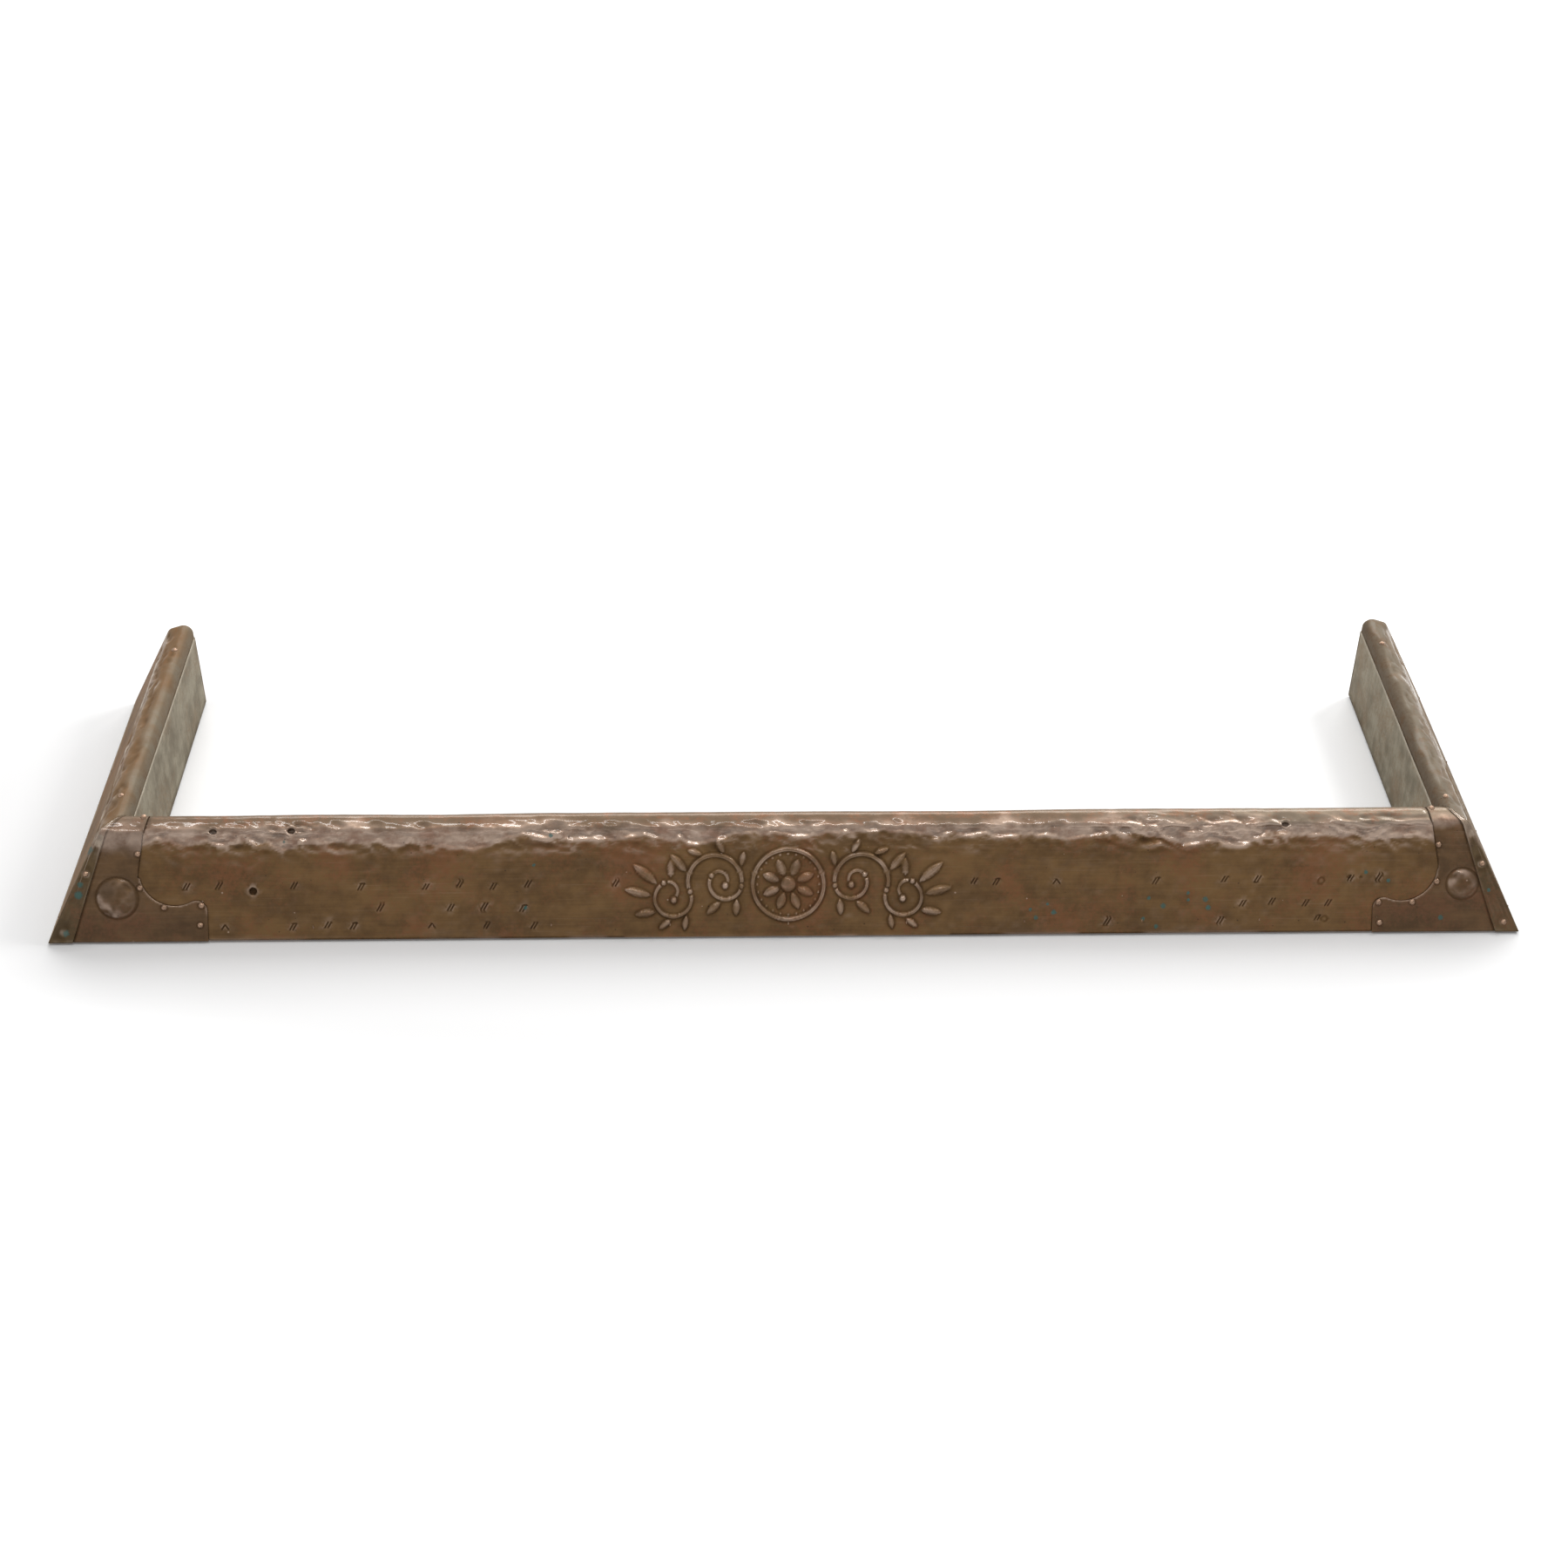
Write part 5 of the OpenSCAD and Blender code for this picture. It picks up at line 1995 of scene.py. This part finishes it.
@dataclass(frozen=True)
class Fastener:
    """Metal of pins, tacks and screws, brighter and duller in patches."""

    name: str
    colour: Colour
    dull: Colour
    roughness: float = 0.34

    def make(self) -> bpy.types.Material:
        """Builds the material.

        Returns:
            The material.
        """
        s = Shader(self.name)
        patch, fine = s.noise(3.5, 3.0), s.noise(0.8, 2.0)
        s.set("Base Color", s.mix(self.colour, self.dull, (patch * 0.8 + fine * 0.3).step(0.4, 0.75)))
        s.set("Metallic", 0.7)
        s.set("Roughness", (patch * 0.2 + fine * 0.12 + self.roughness - 0.12).clamp())
        s.set("Coat Weight", (patch * 0.3 + 0.1).clamp())
        s.set("Coat Roughness", 0.22)
        s.bump(patch * 0.6 + fine * 0.4, 0.12)
        return s.material


# ------------------------------------------------------------------ stage


@dataclass(frozen=True)
class Studio:
    """White floor and backdrop, a softbox behind, a strip and a key lamp for glints, and the camera."""

    floor_half: float = 30.0
    gap: float = 0.0024
    pool: Point = (760.0, 330.0, 900.0)
    near_glow: float = 0.08
    fill: float = 0.22
    lamps_at: tuple[tuple[str, Point, float, float, float], ...] = (
        ("softbox", (0.3, 2.7, 2.7), 3.6, 1.6, 126.0),
        ("strip", (-0.3, -0.45, 2.8), 2.6, 0.16, 27.0),
        ("key", (1.95, 1.0, 2.25), 0.7, 0.7, 34.0),
    )

    camera_at: Point = (-0.0474, -1.7979, 1.390)
    camera_turn: Point = (1.50, 37.06, 0.52)
    lens: float = 52.2
    sensor: float = 36.0
    pixels: int = 1800

    def floor(self) -> None:
        """Lays a white floor that keeps the object's shadow and fades to plain white away from it."""
        bm = bmesh.new()
        bmesh.ops.create_grid(bm, x_segments=1, y_segments=1, size=self.floor_half)
        for vert in bm.verts:
            vert.co.z = -self.gap
        mesh = bpy.data.meshes.new("floor")
        bm.to_mesh(mesh)
        bm.free()
        obj = bpy.data.objects.new("floor", mesh)
        bpy.context.scene.collection.objects.link(obj)
        s = Shader("floor")
        rays = self.seen(s)
        s.set("Base Color", (0.8, 0.8, 0.8))
        s.set("Roughness", 1.0)
        s.set("Specular IOR Level", 0.0)
        away = s.node("ShaderNodeVectorMath", {"operation": "LENGTH"}, [s.place(self.pool)])
        far = Value(s, away.outputs["Value"]).step(1.0, 2.0)
        shown = s.mix((self.near_glow,) * 3, (1.0, 1.0, 1.0), far)
        s.set("Emission Color", s.mix((0.0, 0.0, 0.0), shown, rays))
        s.set("Emission Strength", 1.0)
        mesh.materials.append(s.material)

    @staticmethod
    def seen(s: Shader) -> Value:
        """Returns 1 on the rays that see a surface or its mirror image and 0 on those that light others.

        Args:
            s: node tree to add to.

        Returns:
            The value.
        """
        path = s.nodes.new("ShaderNodeLightPath")
        total = Value(s, path.outputs["Is Camera Ray"]) + Value(s, path.outputs["Is Glossy Ray"])
        return (total + Value(s, path.outputs["Is Transmission Ray"])).clamp()

    def world(self) -> None:
        """Sets a white world that is seen and mirrored but lights little."""
        world = bpy.data.worlds.new("world")
        world.use_nodes = True
        bpy.context.scene.world = world
        s = WorldTree(world)
        s.feed(s.background.inputs["Color"], s.mix((self.fill,) * 3, (1.0, 1.0, 1.0), self.seen(s)))
        s.background.inputs["Strength"].default_value = 1.0

    def lamps(self) -> None:
        """Hangs the lamps, each turned to the origin."""
        for name, at, size, size_y, power in self.lamps_at:
            lamp = bpy.data.lights.new(name, "AREA")
            lamp.shape, lamp.size, lamp.size_y, lamp.energy = "RECTANGLE", size, size_y, power
            obj = bpy.data.objects.new(name, lamp)
            obj.location = at
            obj.rotation_euler = (-Vector(at)).to_track_quat("-Z", "Y").to_euler()
            bpy.context.scene.collection.objects.link(obj)

    def camera(self) -> None:
        """Places the photograph's camera, turned by yaw, pitch and roll."""
        yaw, pitch, roll = (math.radians(a) for a in self.camera_turn)
        ahead = Vector((math.sin(yaw) * math.cos(pitch), math.cos(yaw) * math.cos(pitch), -math.sin(pitch)))
        right = Vector((math.cos(yaw), -math.sin(yaw), 0.0))
        up = right.cross(ahead)
        axis_x = right * math.cos(roll) + up * math.sin(roll)
        axis_y = up * math.cos(roll) - right * math.sin(roll)
        turn = Matrix((axis_x, axis_y, -ahead)).transposed().to_4x4()
        data = bpy.data.cameras.new("camera")
        data.lens, data.sensor_width = self.lens, self.sensor
        obj = bpy.data.objects.new("camera", data)
        obj.matrix_world = Matrix.Translation(self.camera_at) @ turn
        bpy.context.scene.collection.objects.link(obj)
        scene = bpy.context.scene
        scene.camera = obj
        scene.render.resolution_x = scene.render.resolution_y = self.pixels
        scene.view_settings.view_transform = "Standard"

    def make(self) -> None:
        """Builds the whole stage."""
        self.floor()
        self.world()
        self.lamps()
        self.camera()


class WorldTree(Shader):
    """Node tree of the world."""

    def __init__(self, world: bpy.types.World) -> None:
        """Takes the world's own tree and its background node.

        Args:
            world: the world.
        """
        self.nodes = world.node_tree.nodes
        self.links = world.node_tree.links
        self.background = next(n for n in self.nodes if n.type == "BACKGROUND")


# ------------------------------------------------------------------ the fender


def on_front(x: float, u: float, layer: int = 2) -> Point:
    """Returns the place in the row frame, in millimetres, of a point of the front given from its middle."""
    s, z = SECTION.place(np.array([u]), layer * LAYER)
    return x, float(s[0]) - DEPTH / 2, float(z[0])


@dataclass(frozen=True)
class Finishes:
    """All finishes of the fender."""

    def copper(self) -> bpy.types.Material:
        """Makes the finish of the front's sheet, with the verdigris spots of its face.

        Returns:
            The material.
        """
        spots = [
            (230.9, 16.8, 2.4), (247.8, 21.7, 2.6), (225.4, 24.0, 1.2), (241.6, 29.5, 1.2),
            (331.4, 14.7, 1.4), (336.6, 34.3, 1.4), (343.8, 7.1, 2.0), (349.8, 26.8, 2.8),
            (373.1, 38.9, 1.2), (373.3, 32.3, 1.0), (389.5, 32.9, 3.0), (392.2, 24.7, 2.4),
            (539.0, 57.3, 1.8), (560.4, 49.3, 1.6), (-219.4, 97.4, 1.6), (-464.8, 93.3, 1.2),
            (-214.5, 102.6, 1.4), (-235.2, 69.7, 1.2), (-244.0, 29.5, 1.6),
        ]
        return Copper(
            "copper_sheet",
            dark=(0.098, 0.053, 0.021),
            mid=(0.172, 0.096, 0.037),
            red=(0.195, 0.078, 0.034),
            pale=(0.42, 0.30, 0.225),
            back=(0.118, 0.078, 0.047),
            cream_highlight=(0.178, 0.142, 0.102),
            streak=(60.0, 5.0, 1.6),
            spots=tuple((*on_front(x, u), r) for x, u, r in spots),
        ).make()

    def arm_copper(self, side: Side) -> bpy.types.Material:
        """Makes the finish of an arm's sheet and end cap; the left one is browner.

        Args:
            side: side of the arm.

        Returns:
            The material.
        """
        left = side is Side.LEFT
        return Copper(
            f"copper_{side.value}_arm",
            dark=(0.115, 0.066, 0.031) if left else (0.120, 0.080, 0.044),
            mid=(0.200, 0.115, 0.053) if left else (0.180, 0.129, 0.078),
            red=(0.225, 0.110, 0.046) if left else (0.165, 0.095, 0.050),
            pale=(0.46, 0.37, 0.26) if left else (0.30, 0.25, 0.19),
            back=(0.180, 0.108, 0.055) if left else (0.178, 0.150, 0.112),
            cream_highlight=(0.178, 0.150, 0.112),
            inner=(0.22, 0.188, 0.138),
            grime_colour=(0.095, 0.060, 0.036),
            streak=(3.0, 60.0, 3.0),
            metallic=0.25,
            roughness=0.64,
            coat=0.01,
        ).make()

    def lap_copper(self) -> bpy.types.Material:
        """Makes the finish of the arms' laps on the front, with the largest verdigris stains.

        Returns:
            The material.
        """
        return Copper(
            "copper_lap",
            dark=(0.070, 0.045, 0.022),
            mid=(0.128, 0.085, 0.041),
            red=(0.155, 0.072, 0.036),
            pale=(0.36, 0.28, 0.21),
            back=(0.18, 0.13, 0.085),
            streak=(6.0, 6.0, 26.0),
            cream_highlight=(0.22, 0.185, 0.14),
            spots=(
                (*on_front(-655.0, 45.0, 0), 5.0),
                (*on_front(-653.0, 55.0, 0), 3.0),
                (*on_front(-645.0, 88.0, 0), 7.0),
                (*on_front(-668.0, 9.0, 0), 3.5),
                (*on_front(655.0, 40.0, 0), 1.5),
            ),
            speck_share=0.12,
        ).make()

    def plate_copper(self) -> bpy.types.Material:
        """Makes the darker finish of the corner plates.

        Returns:
            The material.
        """
        return Copper(
            "copper_plate",
            dark=(0.078, 0.044, 0.021),
            mid=(0.140, 0.079, 0.037),
            red=(0.150, 0.066, 0.034),
            pale=(0.37, 0.265, 0.20),
            back=(0.15, 0.105, 0.07),
            cream_highlight=(0.22, 0.17, 0.12),
            streak=(40.0, 6.0, 4.0),
            spots=((*on_front(611.0, 14.0, 1), 2.4),),
            speck_share=0.04,
        ).make()

    def inner_copper(self) -> bpy.types.Material:
        """Makes the dull finish of the inner sheets, streaked upwards.

        Returns:
            The material.
        """
        return Copper(
            "copper_inner",
            dark=(0.150, 0.128, 0.090),
            mid=(0.310, 0.280, 0.212),
            red=(0.210, 0.145, 0.088),
            pale=(0.42, 0.37, 0.30),
            back=(0.3, 0.25, 0.2),
            streak=(4.0, 4.0, 40.0),
            metallic=0.40,
            roughness=0.52,
            coat=0.02,
        ).make()


def punch_marks() -> PunchMarks:
    """Returns the punched marks of the face, in three rows broken by the ornament.

    Returns:
        The marks.
    """
    rng = np.random.default_rng(7)
    places = {
        51.5: (-556, -526, -457, -395, -335, -304, -273, -241, -160, 173, 194, 250, 343, 407, 438, 525, 552),
        30.0: (-378, -313, -282, -246, 425, 452, 484, 505),
        13.5: (-522, -459, -427, -403, -331, -280, -236, 298, 404, 495),
    }
    marks = []
    for up, line in places.items():
        for x in line:
            kind = Mark.CHEVRON if x in (-522, -331, 250) else Mark.DASHES
            marks.append((HALF + x, up + rng.uniform(-1.2, 1.2), kind))
    return PunchMarks(tuple(marks))


def front_dents() -> Dents:
    """Returns the hollows of the front's roll: those that stand out and many small ones between them.

    Returns:
        The hollows.
    """
    known = [
        (-548, 84, 26, 10, 1.5), (-500, 83, 24, 11, 1.7), (-455, 87, 16, 8, 1.2), (-378, 87, 12, 8, 1.5),
        (-350, 87, 12, 8, 1.4), (-262, 86, 32, 8, 1.5), (-216, 87, 20, 8, 1.3), (-159, 85, 13, 10, 2.0),
        (-110, 88, 24, 8, 1.1), (60, 88, 22, 6, 0.9), (168, 87, 20, 8, 1.3), (232, 82, 18, 10, 1.5),
        (290, 80, 30, 11, 1.3), (330, 88, 17, 9, 1.7), (362, 86, 14, 9, 1.9), (396, 86, 16, 9, 1.9),
        (432, 88, 13, 8, 1.6), (480, 84, 22, 10, 1.4), (520, 86, 22, 10, 1.6), (556, 84, 18, 10, 1.5),
    ]
    dents = [Dent(HALF + x, u, a, b, d, 0.05) for x, u, a, b, d in known]
    dents += seeded_dents(21, 26, 92, WIDTH - 92, 88.0, 6.0)
    dents += seeded_dents(22, 26, 92, WIDTH - 92, 103.0, 6.0)
    return Dents(tuple(dents))


@dataclass(frozen=True)
class Hand:
    """What differs between the two sides of the fender: seeds, wear, the share of painted highlight, pins and
    the creases of the boss.
    """

    side: Side
    kerb: Kerb
    dent_seed: int
    arm_seed: int
    lap_seed: int
    plate_seed: int
    arm_pins: tuple[Pair, ...]
    highlight_band_share: float
    lap_strength: float
    creases: tuple[tuple[float, float, float, float, float], ...]


TOP_U = SECTION.marks[1] + 5.6
ROLL_TOP = SECTION.marks[2] + SECTION.inner_r * RISE
HANDS = (
    Hand(
        Side.LEFT, Kerb.LEFT, 61, 71, 81, 91,
        arm_pins=((344.0, ROLL_TOP), (100.0, TOP_U)),
        highlight_band_share=0.25,
        lap_strength=1.0,
        creases=((2.0, -4.0, 19.0, 13.0, 1.6), (11.0, 11.0, 14.0, 8.0, 0.9)),
    ),
    Hand(
        Side.RIGHT, Kerb.RIGHT, 62, 76, 84, 95,
        arm_pins=((344.0, ROLL_TOP), (84.0, ROLL_TOP)),
        highlight_band_share=0.55,
        lap_strength=0.7,
        creases=((2.0, 1.5, 14.0, 9.0, 2.0), (-8.0, -8.0, 7.0, 9.0, 0.9)),
    ),
)


class Fender:
    """The whole fender, which dresses the CAD frame piece by piece."""

    lap_pins_up = (57.0, 8.0, 82.0)
    rings_at = ((497.5, 49.7, 3.0), (502.0, 13.2, 3.0), (523.6, 53.0, 0.8), (534.5, 53.0, 0.8))

    def __init__(self) -> None:
        """Makes the finishes."""
        finishes = Finishes()
        self.copper, self.plate, self.lap = finishes.copper(), finishes.plate_copper(), finishes.lap_copper()
        self.arms = {side: finishes.arm_copper(side) for side in Side}
        self.inner = finishes.inner_copper()
        self.wood = Wood("pine").make()
        self.pins = Fastener("pin_copper", (0.37, 0.235, 0.155), (0.17, 0.10, 0.06)).make()
        self.steel = Fastener("screw_steel", (0.42, 0.42, 0.43), (0.2, 0.19, 0.18)).make()

    def front(self) -> None:
        """Builds the front's sheet, with the holes of its lost pins."""
        roll_u = SECTION.marks[0] + 3.4
        relief = FrontRelief(
            ornament=Ornament(),
            dents=front_dents(),
            marks=punch_marks(),
            holes=tuple((HALF + x, roll_u) for x in (-530, -458, 463)) + ((HALF - 495, 47.0),),
            rings=tuple((HALF + x, u, radius) for x, u, radius in self.rings_at),
        )
        FrontSheet("front_sheet_beaten", "front_sheet", "copper", self.copper, Kerb.FRONT, relief).make()

    def arm(self, hand: Hand) -> None:
        """Builds the sheet of one arm and its lap on the front.

        Args:
            hand: the side to build.
        """
        name, node = hand.side.value, f"{hand.side.value}_arm_sheet"
        dents = Dents(tuple(seeded_dents(hand.dent_seed, 30, 80, DEPTH, 106.0, 12.0)))
        relief = ArmRelief(hand.arm_seed, dents, hand.arm_pins)
        copper, share = self.arms[hand.side], hand.highlight_band_share
        ArmSheet(f"{node}_beaten", node, "copper", copper, hand.kerb, relief, highlight_band_share=share).make()
        lap = LapRelief(hand.lap_seed, hand.lap_strength, tuple(lap_at(z) for z in self.lap_pins_up))
        LapStrip(f"{name}_lap_strip", node, "copper", self.lap, hand.side, lap).make()

    def corner(self, hand: Hand) -> None:
        """Builds one corner plate.

        Args:
            hand: the side to build.
        """
        node = f"{hand.side.value}_corner_plate"
        relief = PlateRelief(PLATES[hand.side], hand.plate_seed, hand.creases)
        CornerPlate(f"{node}_beaten", node, "dark_copper", self.plate, hand.side, relief).make()

    def lining(self, kerb: Kerb, former: str) -> None:
        """Builds the inner sheet and the former of one kerb.

        Args:
            kerb: the kerb.
            former: name of its former.
        """
        node = f"{kerb.value}_inner_sheet"
        InnerSheet(f"{node}_dull", node, "inner_copper", self.inner, kerb).make()
        Former(f"{former}_planed", former, "pine", self.wood, kerb).make()

    def fastenings(self) -> None:
        """Puts finishes on the pins, tacks, screws and end caps of the frame."""
        for node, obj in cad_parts.items():
            if "pins" in node or "tacks" in node:
                material = self.pins
            elif "screws" in node:
                material = self.steel
            elif "end_cap" in node:
                material = self.arms[Side.LEFT if "left" in node else Side.RIGHT]
            else:
                continue
            for i in range(len(obj.data.materials)):
                obj.data.materials[i] = material
            LOG.info("%s: kept from the frame", node)

    def make(self) -> None:
        """Builds every piece in order."""
        self.front()
        for hand in HANDS:
            self.arm(hand)
            self.corner(hand)
            self.lining(hand.kerb, f"{hand.side.value}_arm_former")
        self.lining(Kerb.FRONT, "front_former")
        self.fastenings()


def main() -> None:
    """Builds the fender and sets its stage."""
    logging.basicConfig(level=logging.INFO, format="%(name)s: %(message)s")
    Fender().make()
    Studio().make()


if __name__ == "__main__":
    main()
